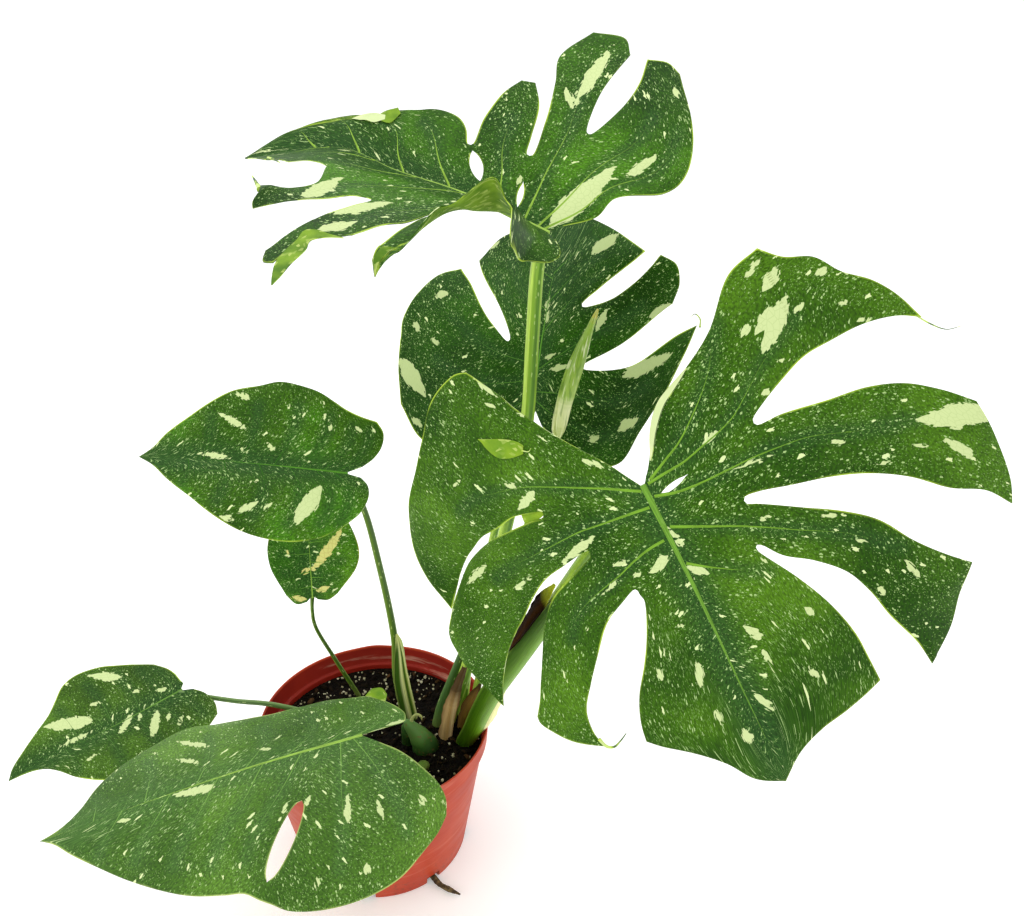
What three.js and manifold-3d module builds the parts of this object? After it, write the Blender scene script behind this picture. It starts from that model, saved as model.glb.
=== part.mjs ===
// A split-leaf Monstera with seven leaves in a six-inch nursery pot.
// Millimetres, +Z up. The origin is the centre of the pot's foot, on its flat underside.
import * as THREE from 'three';
import { mergeVertices } from 'three/addons/utils/BufferGeometryUtils.js';
import Module from 'manifold-3d';

const wasm = await Module();
wasm.setup();

// Driving dimensions of the pot
const rimRadius = 82.5;
const rimHeight = 113.5;
const rimBand = 16;
const rimStep = 2.2;
const footRadius = 63;
const wall = 1.6;
const floorThickness = 2;
const drainCount = 8;
const drainWidth = 11;
const drainHeight = 7;
const drainReach = 11;
const firstDrainAngle = -49;
const potSegments = 72;
const soilTop = 95;
const gap = 0.3;
const ground = soilTop + gap;

// Driving dimensions of the plant
const bladeThickness = 1.3;
const upright = 8;
const seatInset = 4;

// How finely the blades, stalks and sheaths are divided
const lobeSteps = 4;
const tipStep = 20;
const webSteps = 4;
const freeSteps = 6;
const ribSamples = 400;
const stalkStep = 16;
const stalkSections = 6;
const sheathSteps = 10;
const sheathSections = 6;

const coral = 0xc9523d;
const nearBlack = 0x17110c;
const green = 0x2a5c1c;
const lime = 0x86b83a;
const oldGreen = 0x3f6a4a;
const driedBrown = 0x3a1408;
const driedTan = 0x9c7b55;
const rootBrown = 0x4a3b1e;

const group = new THREE.Group();

function addMesh(name, geometry, color, roughness = 0.5) {
  const mesh = new THREE.Mesh(
    geometry,
    new THREE.MeshStandardMaterial({ color, roughness, metalness: 0 })
  );
  mesh.name = name;
  group.add(mesh);
}

const vector = ([x, y, z]) => new THREE.Vector3(x, y, z);
const radians = THREE.MathUtils.degToRad;
const mix = THREE.MathUtils.lerp;

// --- Blades -------------------------------------------------------------------------
// A blade is cut flat and then bent. The flat outline is in millimetres: u across the
// midrib (right of it is positive, looking from the stalk to the tip), v along it. The
// midrib is a curve in space. On each side the blade leaves it at the angle `fold` and
// turns down by `droop` degrees in each 100 mm; rows of [v, fold, droop] blend along it.

function eased(rows, v, column) {
  let i = 0;
  while (i < rows.length - 2 && v > rows[i + 1][0]) i += 1;
  if (rows.length === 1) return rows[0][column];
  const q = THREE.MathUtils.clamp((v - rows[i][0]) / (rows[i + 1][0] - rows[i][0]), 0, 1);
  return mix(rows[i][column], rows[i + 1][column], (1 - Math.cos(Math.PI * q)) / 2);
}

function bender(leaf) {
  const rib = new THREE.CatmullRomCurve3(leaf.rib.map(vector));
  rib.arcLengthDivisions = ribSamples;
  const length = rib.getLength();
  const roll = radians(leaf.roll);
  return (u, v, lift) => {
    const inside = THREE.MathUtils.clamp(v / length, 0, 1);
    const tangent = rib.getTangentAt(inside);
    const point = rib.getPointAt(inside).addScaledVector(tangent, v - inside * length);
    const across = new THREE.Vector3().crossVectors(tangent, new THREE.Vector3(0, 0, 1)).normalize();
    across.applyAxisAngle(tangent, -roll);
    const up = new THREE.Vector3().crossVectors(across, tangent);
    const rows = u < 0 ? leaf.left.shape : leaf.right.shape;
    const fold = radians(eased(rows, v, 1));
    const bend = radians(eased(rows, v, 2)) / 100 || 1e-6;
    const side = Math.sign(u);
    const turned = side === 0 ? 0 : fold - bend * Math.abs(u);
    point.addScaledVector(across, side * (Math.sin(fold) - Math.sin(turned)) / bend);
    if (side !== 0) point.addScaledVector(up, (Math.cos(turned) - Math.cos(fold)) / bend);
    point.addScaledVector(across, -side * Math.sin(turned) * lift);
    return point.addScaledVector(up, Math.cos(turned) * lift);
  };
}

// The edge of a lobe: straight through the web from the midrib to the notch, with an
// optional slot that opens it, and then along the free margin.
function lobeEdge(start, margin, slot, side) {
  const notch = margin[0];
  const web = margin.length > 1 ? webSteps : webSteps + freeSteps;
  const along = [notch[0] - start[0], notch[1] - start[1]];
  const reach = Math.hypot(...along);
  const points = [];
  for (let i = 0; i <= web; i += 1) {
    const t = i / web;
    let push = 0;
    if (slot && t > slot.from && t < slot.to) {
      push = side * slot.half * Math.sin(Math.PI * (t - slot.from) / (slot.to - slot.from));
    }
    points.push([
      start[0] + along[0] * t + along[1] / reach * push,
      start[1] + along[1] * t - along[0] / reach * push,
    ]);
  }
  if (margin.length > 1) {
    const curve = new THREE.SplineCurve(margin.map(([x, y]) => new THREE.Vector2(x, y)));
    curve.getSpacedPoints(freeSteps).slice(1).forEach((p) => points.push([p.x, p.y]));
  }
  return points;
}

// Where the rows of both halves meet on the midrib, so that the halves share every point.
function ribStations(leaf) {
  const roots = [...leaf.right.lobes, ...leaf.left.lobes].flatMap((lobe) => lobe.root);
  const ends = [...new Set(roots)].sort((a, b) => a - b);
  const stations = [ends[0]];
  for (let i = 1; i < ends.length; i += 1) {
    const steps = Math.max(lobeSteps, Math.round((ends[i] - ends[i - 1]) / tipStep));
    for (let k = 1; k <= steps; k += 1) stations.push(mix(ends[i - 1], ends[i], k / steps));
  }
  return stations;
}

// A lobe is a Coons patch between its two edges, its root on the midrib and its end.
function lobeTriangles(lobe, stations, bend, positions) {
  const count = webSteps + freeSteps;
  const [rootA, rootB] = lobe.root;
  const rows = stations.filter((v) => v >= rootA && v <= rootB);
  const last = rows.length - 1;
  const edgeA = lobeEdge([0, rootA], lobe.lead, lobe.leadSlot, -lobe.side);
  const edgeB = lobe.trail
    ? lobeEdge([0, rootB], lobe.trail, lobe.trailSlot, lobe.side)
    : Array(count + 1).fill([0, rootB]);
  const cornerA = edgeA[count];
  const cornerB = edgeB[count];
  const endCurve = new THREE.SplineCurve(
    [cornerA, ...lobe.end, cornerB].map(([x, y]) => new THREE.Vector2(x, y))
  );
  const grid = [];
  rows.forEach((v) => {
    const s = (v - rootA) / (rootB - rootA);
    const end = endCurve.getPointAt(s);
    const row = [];
    for (let j = 0; j <= count; j += 1) {
      const t = j / count;
      const root = [0, v];
      const flat = [0, 1].map((k) => {
        const corners = mix(mix(edgeA[0][k], edgeB[0][k], s), mix(cornerA[k], cornerB[k], s), t);
        const ends = mix(root[k], k === 0 ? end.x : end.y, t);
        return mix(edgeA[j][k], edgeB[j][k], s) + ends - corners;
      });
      row.push(bend(lobe.side * Math.abs(flat[0]), flat[1], 0));
    }
    grid.push(row);
  });
  for (let i = 0; i < last; i += 1) {
    for (let j = 0; j < count; j += 1) {
      const [a, b, c, d] = [grid[i][j], grid[i + 1][j], grid[i + 1][j + 1], grid[i][j + 1]];
      const quads = lobe.side > 0 ? [a, c, b, a, d, c] : [a, b, c, a, c, d];
      quads.forEach((p) => positions.push(p.x, p.y, p.z));
    }
  }
}

// Merges a loose sheet, drops its empty triangles and gives it a thickness.
function thicken(positions, thickness) {
  const loose = new THREE.BufferGeometry();
  loose.setAttribute('position', new THREE.Float32BufferAttribute(positions, 3));
  const sheet = mergeVertices(loose, 1e-2);
  const old = sheet.index.array;
  const index = [];
  for (let i = 0; i < old.length; i += 3) {
    const [a, b, c] = [old[i], old[i + 1], old[i + 2]];
    if (a !== b && b !== c && c !== a) index.push(a, b, c);
  }
  sheet.setIndex(index);
  sheet.computeVertexNormals();
  const point = sheet.attributes.position;
  const normal = sheet.attributes.normal;
  const count = point.count;
  const vertices = [];
  for (const offset of [thickness / 2, -thickness / 2]) {
    for (let i = 0; i < count; i += 1) {
      vertices.push(
        point.getX(i) + normal.getX(i) * offset,
        point.getY(i) + normal.getY(i) * offset,
        point.getZ(i) + normal.getZ(i) * offset
      );
    }
  }
  const faces = [...index];
  const borders = new Map();
  for (let i = 0; i < index.length; i += 3) {
    faces.push(index[i] + count, index[i + 2] + count, index[i + 1] + count);
    for (let k = 0; k < 3; k += 1) {
      const from = index[i + k];
      const to = index[i + (k + 1) % 3];
      if (!borders.delete(`${to} ${from}`)) borders.set(`${from} ${to}`, [from, to]);
    }
  }
  borders.forEach(([from, to]) => {
    faces.push(from, to + count, to, from, from + count, to + count);
  });
  const solid = new THREE.BufferGeometry();
  solid.setAttribute('position', new THREE.Float32BufferAttribute(vertices, 3));
  solid.setIndex(faces);
  return solid;
}

function blade(leaf) {
  const positions = [];
  const bend = bender(leaf);
  const stations = ribStations(leaf);
  for (const [name, side] of [['right', 1], ['left', -1]]) {
    const lobes = leaf[name].lobes;
    lobes.forEach((lobe, i) => {
      const next = lobes[i + 1];
      const trailSlot = next && next.leadSlot;
      lobeTriangles({ ...lobe, side, trailSlot }, stations, bend, positions);
    });
  }
  return thicken(positions, bladeThickness);
}

// The seven leaves. Each half lists its lobes from the one beside the stalk to the tip.
// `root` is a lobe's stretch of the midrib; `lead`, `end` and `trail` go round its edge,
// starting at the notch that it shares with the lobe before it.
const bigRightLeaf = {
  rib: [[165, -115, 375], [192, -140, 328], [216, -158, 282], [241, -173, 233]],
  roll: -60,
  right: {
    shape: [[0, -6, 14]],
    lobes: [
      {
        root: [0, 5],
        lead: [[9, -15], [26, -38], [44, -65], [61, -94]],
        end: [[89, -91], [111, -74], [147, -45], [161, -22], [163, 2]],
        trail: [[57, -9], [76, -14], [103, -11], [123, -3], [157, 20]],
      },
      {
        root: [5, 21],
        lead: [[57, -9], [80, -9], [109, -3], [145, 13]],
        end: [[160, 22], [171, 35], [166, 53], [155, 71]],
        trail: [[44, 19], [63, 21], [93, 31], [118, 47], [136, 76], [139, 91]],
      },
      {
        root: [21, 36],
        lead: [[44, 19], [63, 25], [81, 34], [102, 70], [117, 101]],
        end: [[110, 112], [100, 119]],
        trail: [[28, 47], [39, 50], [65, 74], [85, 104], [82, 125]],
      },
      {
        root: [36, 171],
        lead: [[28, 47], [33, 69], [52, 102], [59, 127]],
        end: [[37, 140], [14, 164]],
      },
    ],
  },
  left: {
    shape: [[0, -6, 14]],
    lobes: [
      {
        root: [0, 5],
        lead: [[-9, -11], [-25, -35], [-45, -44], [-63, -55], [-83, -75], [-101, -80]],
        end: [[-124, -64], [-133, -52], [-145, -41]],
        trail: [[-62, -5], [-84, -18], [-113, -24], [-148, -20], [-159, -14]],
      },
      {
        root: [5, 21],
        leadSlot: { from: 0.1, to: 0.4, half: 1.6 },
        lead: [[-62, -5], [-99, 1], [-136, 11], [-165, 35]],
        end: [[-170, 64], [-169, 79]],
        trail: [[-41, 27], [-64, 30], [-101, 42], [-135, 66], [-166, 91]],
      },
      {
        root: [21, 36],
        lead: [[-41, 27], [-66, 43], [-96, 64], [-122, 97], [-134, 109]],
        end: [[-123, 122], [-112, 139]],
        trail: [[-36, 50], [-59, 68], [-78, 95], [-92, 136], [-95, 151]],
      },
      {
        root: [36, 171],
        lead: [[-36, 50], [-48, 72], [-63, 111], [-66, 144]],
        end: [[-45, 150], [-12, 160]],
      },
    ],
  },
};

const topLeaf = {
  rib: [[119, 10, 469], [72, 28, 486], [32, 45, 495], [-1, 58, 505], [-61, 68, 497]],
  roll: 0,
  right: {
    shape: [[0, 42, 8]],
    lobes: [
      {
        root: [0, 10],
        lead: [[6, -6], [21, -21], [36, -25], [52, -48], [66, -54], [94, -48], [138, -20]],
        end: [[143, -10]],
        trail: [[68, 8], [94, -1], [117, -2], [138, 2]],
      },
      {
        root: [10, 20],
        lead: [[68, 8], [97, 15], [136, 13]],
        end: [[147, 22]],
        trail: [[38, 31], [65, 34], [92, 41], [112, 47], [140, 39]],
      },
      {
        root: [20, 40],
        leadSlot: { from: 0, to: 0.5, half: 2 },
        lead: [[38, 31], [51, 36], [71, 41], [86, 50]],
        end: [],
        trail: [[30, 63], [50, 64], [71, 62], [84, 57]],
      },
      {
        root: [40, 196],
        leadSlot: { from: 0.3, to: 0.75, half: 3.5 },
        lead: [[30, 63], [47, 76], [46, 96], [34, 120]],
        end: [[15, 157], [12, 175]],
      },
    ],
  },
  left: {
    shape: [[-15, -18, 0], [0, -8, -15], [14, 2, -58], [34, 0, -28], [60, 2, 7]],
    lobes: [
      {
        root: [0, 20],
        lead: [[-8, -9], [-30, -20], [-48, -20], [-66, -8], [-88, 8], [-108, 26]],
        end: [[-122, 40]],
        trail: [[-55, 46], [-88, 50], [-120, 46]],
      },
      {
        root: [20, 40],
        lead: [[-55, 46], [-78, 57], [-107, 66], [-135, 72]],
        end: [[-146, 80]],
        trail: [[-56, 81], [-85, 87], [-112, 90], [-140, 89]],
      },
      {
        root: [40, 66],
        lead: [[-56, 81], [-60, 92], [-90, 107], [-112, 116]],
        end: [[-103, 130]],
        trail: [[-38, 122], [-68, 121], [-82, 127], [-90, 143]],
      },
      {
        root: [66, 196],
        lead: [[-38, 122], [-36, 136], [-40, 152]],
        end: [[-28, 166], [-16, 179]],
      },
    ],
  },
};

const backLeaf = {
  rib: [[113, 45, 344], [120, 78, 381], [129, 115, 413], [146, 150, 440]],
  roll: 6,
  right: {
    shape: [[0, 0, 11]],
    lobes: [
      {
        root: [0, 14],
        lead: [[8, -14], [25, -30], [45, -38], [61, -34], [72, -11], [86, 18]],
        end: [[95, 45]],
        trail: [[30, 27], [60, 30], [87, 54], [100, 63]],
      },
      {
        root: [14, 34],
        lead: [[30, 27], [53, 45], [83, 78]],
        end: [[86, 97], [82, 115]],
        trail: [[24, 70], [44, 78], [65, 107], [70, 121]],
      },
      {
        root: [34, 147],
        lead: [[24, 70], [34, 86], [54, 113], [59, 122]],
        end: [[43, 131], [14, 144]],
      },
    ],
  },
  left: {
    shape: [[0, 0, 11]],
    lobes: [
      {
        root: [0, 34],
        lead: [[-8, -14], [-25, -30], [-50, -37], [-76, -27], [-96, -3]],
        end: [[-104, 32], [-106, 66], [-92, 93]],
        trail: [[-22, 44], [-39, 59], [-59, 87], [-73, 99]],
      },
      {
        root: [34, 147],
        lead: [[-22, 44], [-35, 72], [-62, 105]],
        end: [[-53, 126], [-23, 137]],
      },
    ],
  },
};

const heartLeaf = {
  rib: [[-3, -10, 324], [-48, -9, 329], [-93, -5, 331], [-132, 0, 330]],
  roll: 40,
  right: {
    shape: [[0, 5, 11]],
    lobes: [
      {
        root: [0, 130],
        lead: [[5, -12], [15, -19], [28, -20], [37, -12]],
        end: [[49, 17], [54, 58], [27, 97], [12, 116]],
      },
    ],
  },
  left: {
    shape: [[0, 5, 11]],
    lobes: [
      {
        root: [0, 130],
        lead: [[-3, -9], [-12, -16], [-24, -13], [-38, 2]],
        end: [[-47, 29], [-40, 65], [-14, 110]],
      },
    ],
  },
};

const smallLeaf = {
  rib: [[-42, 30, 201], [-45, 48, 222], [-47, 64, 245], [-48, 76, 268]],
  roll: 0,
  right: {
    shape: [[0, 5, 10]],
    lobes: [
      {
        root: [0, 82],
        lead: [[4, -3], [11, -4], [18, 0]],
        end: [[33, 18], [35, 33], [20, 66]],
      },
    ],
  },
  left: {
    shape: [[0, 5, 10]],
    lobes: [
      {
        root: [0, 82],
        lead: [[-4, -4], [-11, -5], [-18, 2]],
        end: [[-28, 24], [-28, 42], [-8, 76]],
      },
    ],
  },
};

const lowLeftLeaf = {
  rib: [[-143, 15, 127], [-176, -6, 119], [-210, -27, 112], [-246, -49, 103]],
  roll: 20,
  right: {
    shape: [[0, 2, 11]],
    lobes: [
      {
        root: [0, 124],
        lead: [[4, -4], [10, -5], [20, -1], [32, 10]],
        end: [[50, 52], [46, 69], [18, 104]],
      },
    ],
  },
  left: {
    shape: [[0, 2, 11]],
    lobes: [
      {
        root: [0, 124],
        lead: [[-4, -8], [-12, -14], [-23, -17], [-34, -14]],
        end: [[-47, 20], [-45, 42], [-19, 89]],
      },
    ],
  },
};

const frontLeaf = {
  rib: [[5, -83, 179], [-57, -98, 169], [-119, -113, 155], [-184, -129, 138]],
  roll: 5,
  right: {
    shape: [[0, -10, 12]],
    lobes: [
      {
        root: [0, 199],
        lead: [[-0.5, -12], [2, -28], [12, -36], [26, -30]],
        end: [[46, -4], [62, 45], [68, 105], [56, 152], [12, 178]],
      },
    ],
  },
  left: {
    shape: [[0, -14, 20]],
    lobes: [
      {
        root: [0, 18],
        lead: [[-12, -17], [-28, -33], [-47, -42], [-62, -40]],
        end: [[-79, -21], [-91, 5], [-94, 40], [-88, 60]],
        trail: [[-80, 74]],
      },
      {
        root: [18, 199],
        leadSlot: { from: 0.4, to: 0.86, half: 6 },
        lead: [[-80, 74]],
        end: [[-72, 90], [-59, 120], [-29, 164]],
      },
    ],
  },
};

// --- Stalks -------------------------------------------------------------------------

// Stalks leave the soil upright, so each starts with two points above each other.
const rooted = ([x, y]) => [[x, y, ground], [x, y, ground + upright]];

// A round stalk of one radius through the points.
function stalk(points, radius) {
  const path = new THREE.CatmullRomCurve3(points.map(vector));
  const shape = new THREE.Shape().absarc(0, 0, radius, 0, 2 * Math.PI);
  const steps = Math.max(4, Math.round(path.getLength() / stalkStep));
  return new THREE.ExtrudeGeometry(shape, {
    steps, curveSegments: stalkSections, bevelEnabled: false, extrudePath: path,
  });
}

// The point under a blade where its stalk stops. The stalk's end is a flat disc across
// its path, so the disc's tilt and the blade's own fold are added to the gap.
function seat({ leaf, points, radius }) {
  const bend = bender(leaf);
  const folds = [leaf.left, leaf.right].map((half) => eased(half.shape, seatInset, 1));
  const sag = radius * Math.sin(radians(Math.max(0, -Math.min(...folds))));
  const clear = bladeThickness / 2 + gap + sag;
  const under = bend(0, seatInset, -clear);
  const normal = bend(0, seatInset, 1 - clear).sub(under);
  const path = new THREE.CatmullRomCurve3([...points.map(vector), under]);
  const facing = path.getTangent(1).dot(normal);
  const tilt = radius * Math.sqrt(1 - facing ** 2);
  return bend(0, seatInset, -clear - tilt).toArray();
}

// A thin sheath that wraps part of the way round a path. Rows are [fraction of the path,
// radius, first angle, last angle]; angle 0 points to +X and 90 away from the viewer.
function sheath(points, rows, thickness) {
  const path = new THREE.CatmullRomCurve3(points.map(vector));
  const at = (i, j) => {
    const t = i / sheathSteps;
    const radius = eased(rows, t, 1);
    const angle = radians(mix(eased(rows, t, 2), eased(rows, t, 3), j / sheathSections));
    const point = path.getPoint(t);
    return [point.x + radius * Math.cos(angle), point.y + radius * Math.sin(angle), point.z];
  };
  const positions = [];
  for (let i = 0; i < sheathSteps; i += 1) {
    for (let j = 0; j < sheathSections; j += 1) {
      const [a, b, c, d] = [at(i, j), at(i, j + 1), at(i + 1, j + 1), at(i + 1, j)];
      positions.push(...a, ...b, ...c, ...a, ...c, ...d);
    }
  }
  return thicken(positions, thickness);
}

const petioles = {
  big_right: {
    leaf: bigRightLeaf,
    radius: 4.4,
    points: [...rooted([62, -3]), [71, -9, 113], [84, -22, 146], [104, -45, 207], [124, -70, 270],
      [146, -94, 330]],
  },
  top: {
    leaf: topLeaf,
    radius: 3.4,
    points: [...rooted([52, 14]), [70, 15, 160], [92, 17, 250], [111, 18, 347], [119, 13, 430]],
  },
  back: {
    leaf: backLeaf,
    radius: 2.8,
    points: [...rooted([62, 22]), [70, 30, 160], [86, 42, 240], [102, 52, 306]],
  },
  heart: {
    leaf: heartLeaf,
    radius: 2.3,
    points: [...rooted([19, 22]), [15, 20, 137], [16, 17, 172], [11, 7, 242], [4, -1, 296]],
  },
  small: {
    leaf: smallLeaf,
    radius: 1.4,
    points: [...rooted([-19, 44]), [-34, 41, 136], [-44, 37, 168], [-44, 33, 186]],
  },
  low_left: {
    leaf: lowLeftLeaf,
    radius: 1.8,
    points: [...rooted([-22, 4]), [-40, 6, 109], [-75, 9, 118.5], [-104, 12, 119.5]],
  },
  front: {
    leaf: frontLeaf,
    radius: 2.9,
    points: [...rooted([36, -28]), [33, -40, 122], [20, -64, 156]],
  },
};

// --- Pot and soil -------------------------------------------------------------------

function toManifold(geometry) {
  const bare = geometry.clone();
  bare.deleteAttribute('normal');
  bare.deleteAttribute('uv');
  const merged = mergeVertices(bare, 1e-3);
  return new wasm.Manifold(new wasm.Mesh({
    numProp: 3,
    vertProperties: new Float32Array(merged.attributes.position.array),
    triVerts: new Uint32Array(merged.index.array),
  }));
}

function toGeometry(manifold) {
  const mesh = manifold.getMesh();
  const geometry = new THREE.BufferGeometry();
  geometry.setAttribute('position', new THREE.BufferAttribute(mesh.vertProperties, 3));
  geometry.setIndex(new THREE.BufferAttribute(mesh.triVerts, 1));
  return geometry;
}

function lathe(profile, segments) {
  const geometry = new THREE.LatheGeometry(profile.map(([r, z]) => new THREE.Vector2(r, z)), segments);
  geometry.rotateX(Math.PI / 2);
  return geometry;
}

const bandFoot = rimHeight - rimBand;
const bandRadius = rimRadius - 1.5;
const shoulderRadius = bandRadius - rimStep;
const wallRadius = (z) => mix(footRadius, shoulderRadius, z / bandFoot);

function pot() {
  const body = lathe([
    [0, 0],
    [footRadius - 1, 0],
    [wallRadius(1), 1],
    [shoulderRadius, bandFoot],
    [bandRadius, bandFoot + 0.8],
    [rimRadius - 0.4, rimHeight - 1.2],
    [rimRadius, rimHeight - 0.6],
    [rimRadius - 0.6, rimHeight],
    [rimRadius - wall, rimHeight - 0.4],
    [bandRadius - wall, bandFoot + 1.8],
    [shoulderRadius - wall, bandFoot + 1],
    [wallRadius(floorThickness) - wall, floorThickness],
    [0, floorThickness],
  ], potSegments);
  let solid = toManifold(body);
  for (let i = 0; i < drainCount; i += 1) {
    const angle = radians(firstDrainAngle + i * 360 / drainCount);
    const cutter = new THREE.BoxGeometry(2 * drainReach, drainWidth, 2 * drainHeight);
    cutter.translate(footRadius, 0, 0);
    cutter.rotateZ(angle);
    solid = solid.subtract(toManifold(cutter));
  }
  return toGeometry(solid);
}

function soil() {
  const side = (z) => wallRadius(z) - wall - 2 * gap;
  const low = floorThickness + gap;
  return lathe([[0, low], [side(low), low], [side(soilTop), soilTop], [0, soilTop]], 48);
}

// A rounded knob of stem that stands on the soil, widest a little above it.
function knob([x, y], radius, height) {
  const rings = 6;
  const lowest = radians(-20);
  const start = Math.sin(lowest);
  const profile = [[0, 0]];
  for (let i = 0; i < rings; i += 1) {
    const angle = mix(lowest, Math.PI / 2, i / rings);
    profile.push([radius * Math.cos(angle), height * (Math.sin(angle) - start) / (1 - start)]);
  }
  profile.push([0, height]);
  const geometry = lathe(profile, 20);
  geometry.translate(x, y, ground);
  return geometry;
}

// A leaf still rolled up: a slim spindle that stands at its base and leans to its tip.
function spear(base, tip) {
  const axis = vector(tip).sub(vector(base));
  const length = axis.length();
  const profile = [[0, 0], [2.6, 0], [4.6, 0.16], [5, 0.35], [4.2, 0.6], [2.4, 0.85], [0, 1]];
  const geometry = lathe(profile.map(([r, z]) => [r, z * length]), 14);
  geometry.applyQuaternion(
    new THREE.Quaternion().setFromUnitVectors(new THREE.Vector3(0, 0, 1), axis.normalize())
  );
  geometry.translate(...base);
  return geometry;
}

// --- Assembly -----------------------------------------------------------------------

addMesh('pot', pot(), coral, 0.45);
addMesh('soil', soil(), nearBlack, 0.95);

addMesh('leaf_blade_big_right', blade(bigRightLeaf), green);
addMesh('leaf_blade_top', blade(topLeaf), green);
addMesh('leaf_blade_back', blade(backLeaf), green);
addMesh('leaf_blade_heart', blade(heartLeaf), green);
addMesh('leaf_blade_small', blade(smallLeaf), green);
addMesh('leaf_blade_low_left', blade(lowLeftLeaf), green);
addMesh('leaf_blade_front', blade(frontLeaf), green);

for (const [name, petiole] of Object.entries(petioles)) {
  const points = [...petiole.points, seat(petiole)];
  addMesh(`petiole_${name}`, stalk(points, petiole.radius), lime);
}

const spearBase = [128, 10, 342];
const spearTip = [148, 10, 421];
addMesh('rolled_leaf', spear(spearBase, spearTip), lime);
addMesh('rolled_leaf_stalk', stalk([
  ...rooted([68, 12]), [80, 15, 160], [106, 16, 255], [127.7, 10, 341],
], 2.6), lime);

addMesh('stem_crown', knob([40, -10], 9.5, 19), green);
addMesh('stem_stub', knob([24, -4], 5, 17), lime);

addMesh('sheath_big_right', sheath(
  [[62, -3, ground + 0.6], [71, -9, 113], [84, -22, 146], [104, -45, 207], [122, -67, 263]],
  [[0, 7, -160, 60], [0.5, 7.4, -150, 40], [0.85, 6.8, -120, -10], [1, 6.4, -80, -40]],
  1
), lime);
addMesh('sheath_heart', sheath(
  [[19, 22, ground + 0.6], [15, 20, 137], [16, 17, 172]],
  [[0, 4.4, -100, 60], [0.6, 4, -80, 50], [1, 3.6, -40, 10]],
  0.8
), lime);
addMesh('sheath_brown', sheath(
  [[104, -45, 205], [112, -54, 228], [120, -65, 258]],
  [[0, 8.5, -200, -140], [0.5, 8.4, -190, -125], [1, 8, -160, -120]],
  0.8
), driedBrown, 0.8);
addMesh('sheath_tan', stalk([...rooted([50, 3]), [55, 5, 122], [62, 6, 152]], 2.6), driedTan, 0.8);
addMesh('sheath_tan_short', stalk([...rooted([61, 11]), [65, 9, 118], [71, 8, 140]], 2), driedTan, 0.8);
addMesh('petiole_old', stalk([...rooted([43, 14]), [48, 16, 120], [58, 19, 152]], 2.8), oldGreen);

addMesh('drain_root', stalk([
  [40.6, -46.7, 3.8], [47, -54, 3.4], [54, -58, 3], [62, -62, 2.8],
], 1.9), rootBrown, 0.85);

export default group;
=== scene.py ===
import math

import bpy
import numpy as np
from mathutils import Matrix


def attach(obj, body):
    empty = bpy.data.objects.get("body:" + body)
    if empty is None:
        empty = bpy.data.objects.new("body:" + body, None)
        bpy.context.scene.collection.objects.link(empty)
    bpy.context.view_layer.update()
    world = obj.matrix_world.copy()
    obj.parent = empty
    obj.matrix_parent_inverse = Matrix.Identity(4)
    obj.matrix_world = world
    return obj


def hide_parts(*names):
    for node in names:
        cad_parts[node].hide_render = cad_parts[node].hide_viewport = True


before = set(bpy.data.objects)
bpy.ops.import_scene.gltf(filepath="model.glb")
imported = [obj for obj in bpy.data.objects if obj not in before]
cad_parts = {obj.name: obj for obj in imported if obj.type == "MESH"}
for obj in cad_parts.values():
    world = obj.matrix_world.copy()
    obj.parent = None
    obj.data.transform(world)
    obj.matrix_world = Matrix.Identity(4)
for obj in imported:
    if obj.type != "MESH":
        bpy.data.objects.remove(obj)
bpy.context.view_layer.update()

# A split-leaf Monstera with cream flecks, in a six-inch nursery pot.
# Sizes below are in millimetres, +Z up, from the centre of the pot's foot; meshes are written in metres.

farAway = 50.0  # what a distance in mm reads where nothing is near


def linear(hexColour):
    # Each sRGB channel c turns linear as ((c + 0.055) / 1.055) to the power 2.4.
    channels = [int(hexColour[k : k + 2], 16) / 255 for k in (1, 3, 5)]
    return (*[c / 12.92 if c < 0.04045 else ((c + 0.055) / 1.055) ** 2.4 for c in channels], 1.0)


def setInputs(tree, made, inputs):
    # Inputs go by name or number, or in their own order. One is a number, a hex colour, an output, or a
    # node, which stands for its first live output.
    for name, value in inputs.items() if isinstance(inputs, dict) else enumerate(inputs):
        if isinstance(value, bpy.types.Node):
            value = next(output for output in value.outputs if output.enabled)
        if isinstance(value, bpy.types.NodeSocket):
            tree.links.new(value, made.inputs[name])
        else:
            made.inputs[name].default_value = linear(value) if isinstance(value, str) else value


usualSettings = {"Mix": {"data_type": "RGBA"}, "UVMap": {"uv_map": "flow"}}


def node(tree, kind, inputs=None, ramp=None, **settings):
    # One shader node with its settings and links, and with (place, hex colour) stops if it has a ramp.
    # MapRange takes the value, from low, from high, to low and to high in order. Mix takes the share as
    # 0 and the two colours as 6 and 7.
    made = tree.nodes.new("ShaderNode" + kind)
    for name, value in {**usualSettings.get(kind, {}), **settings}.items():
        setattr(made, name, value)
    setInputs(tree, made, inputs or {})
    if ramp:
        stops = made.color_ramp.elements
        while len(stops) < len(ramp):
            stops.new(1.0)
        for stop, (place, colour) in zip(stops, ramp):
            stop.position = place
            stop.color = linear(colour)
    return made


def startMaterial(name):
    # A new material with Blender's own surface node.
    material = bpy.data.materials.new(name)
    material.use_nodes = True
    return material, material.node_tree


def finishMaterial(material, inputs, height=None, strength=1.0, depth=0.001):
    # Sets the surface, and lets a height map raise it by at most `depth` metres times `strength`.
    tree = material.node_tree
    if height is not None:
        inputs = {**inputs, "Normal": node(tree, "Bump", {"Height": height, "Strength": strength, "Distance": depth})}
    setInputs(tree, tree.nodes["Principled BSDF"], inputs)
    return material


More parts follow.
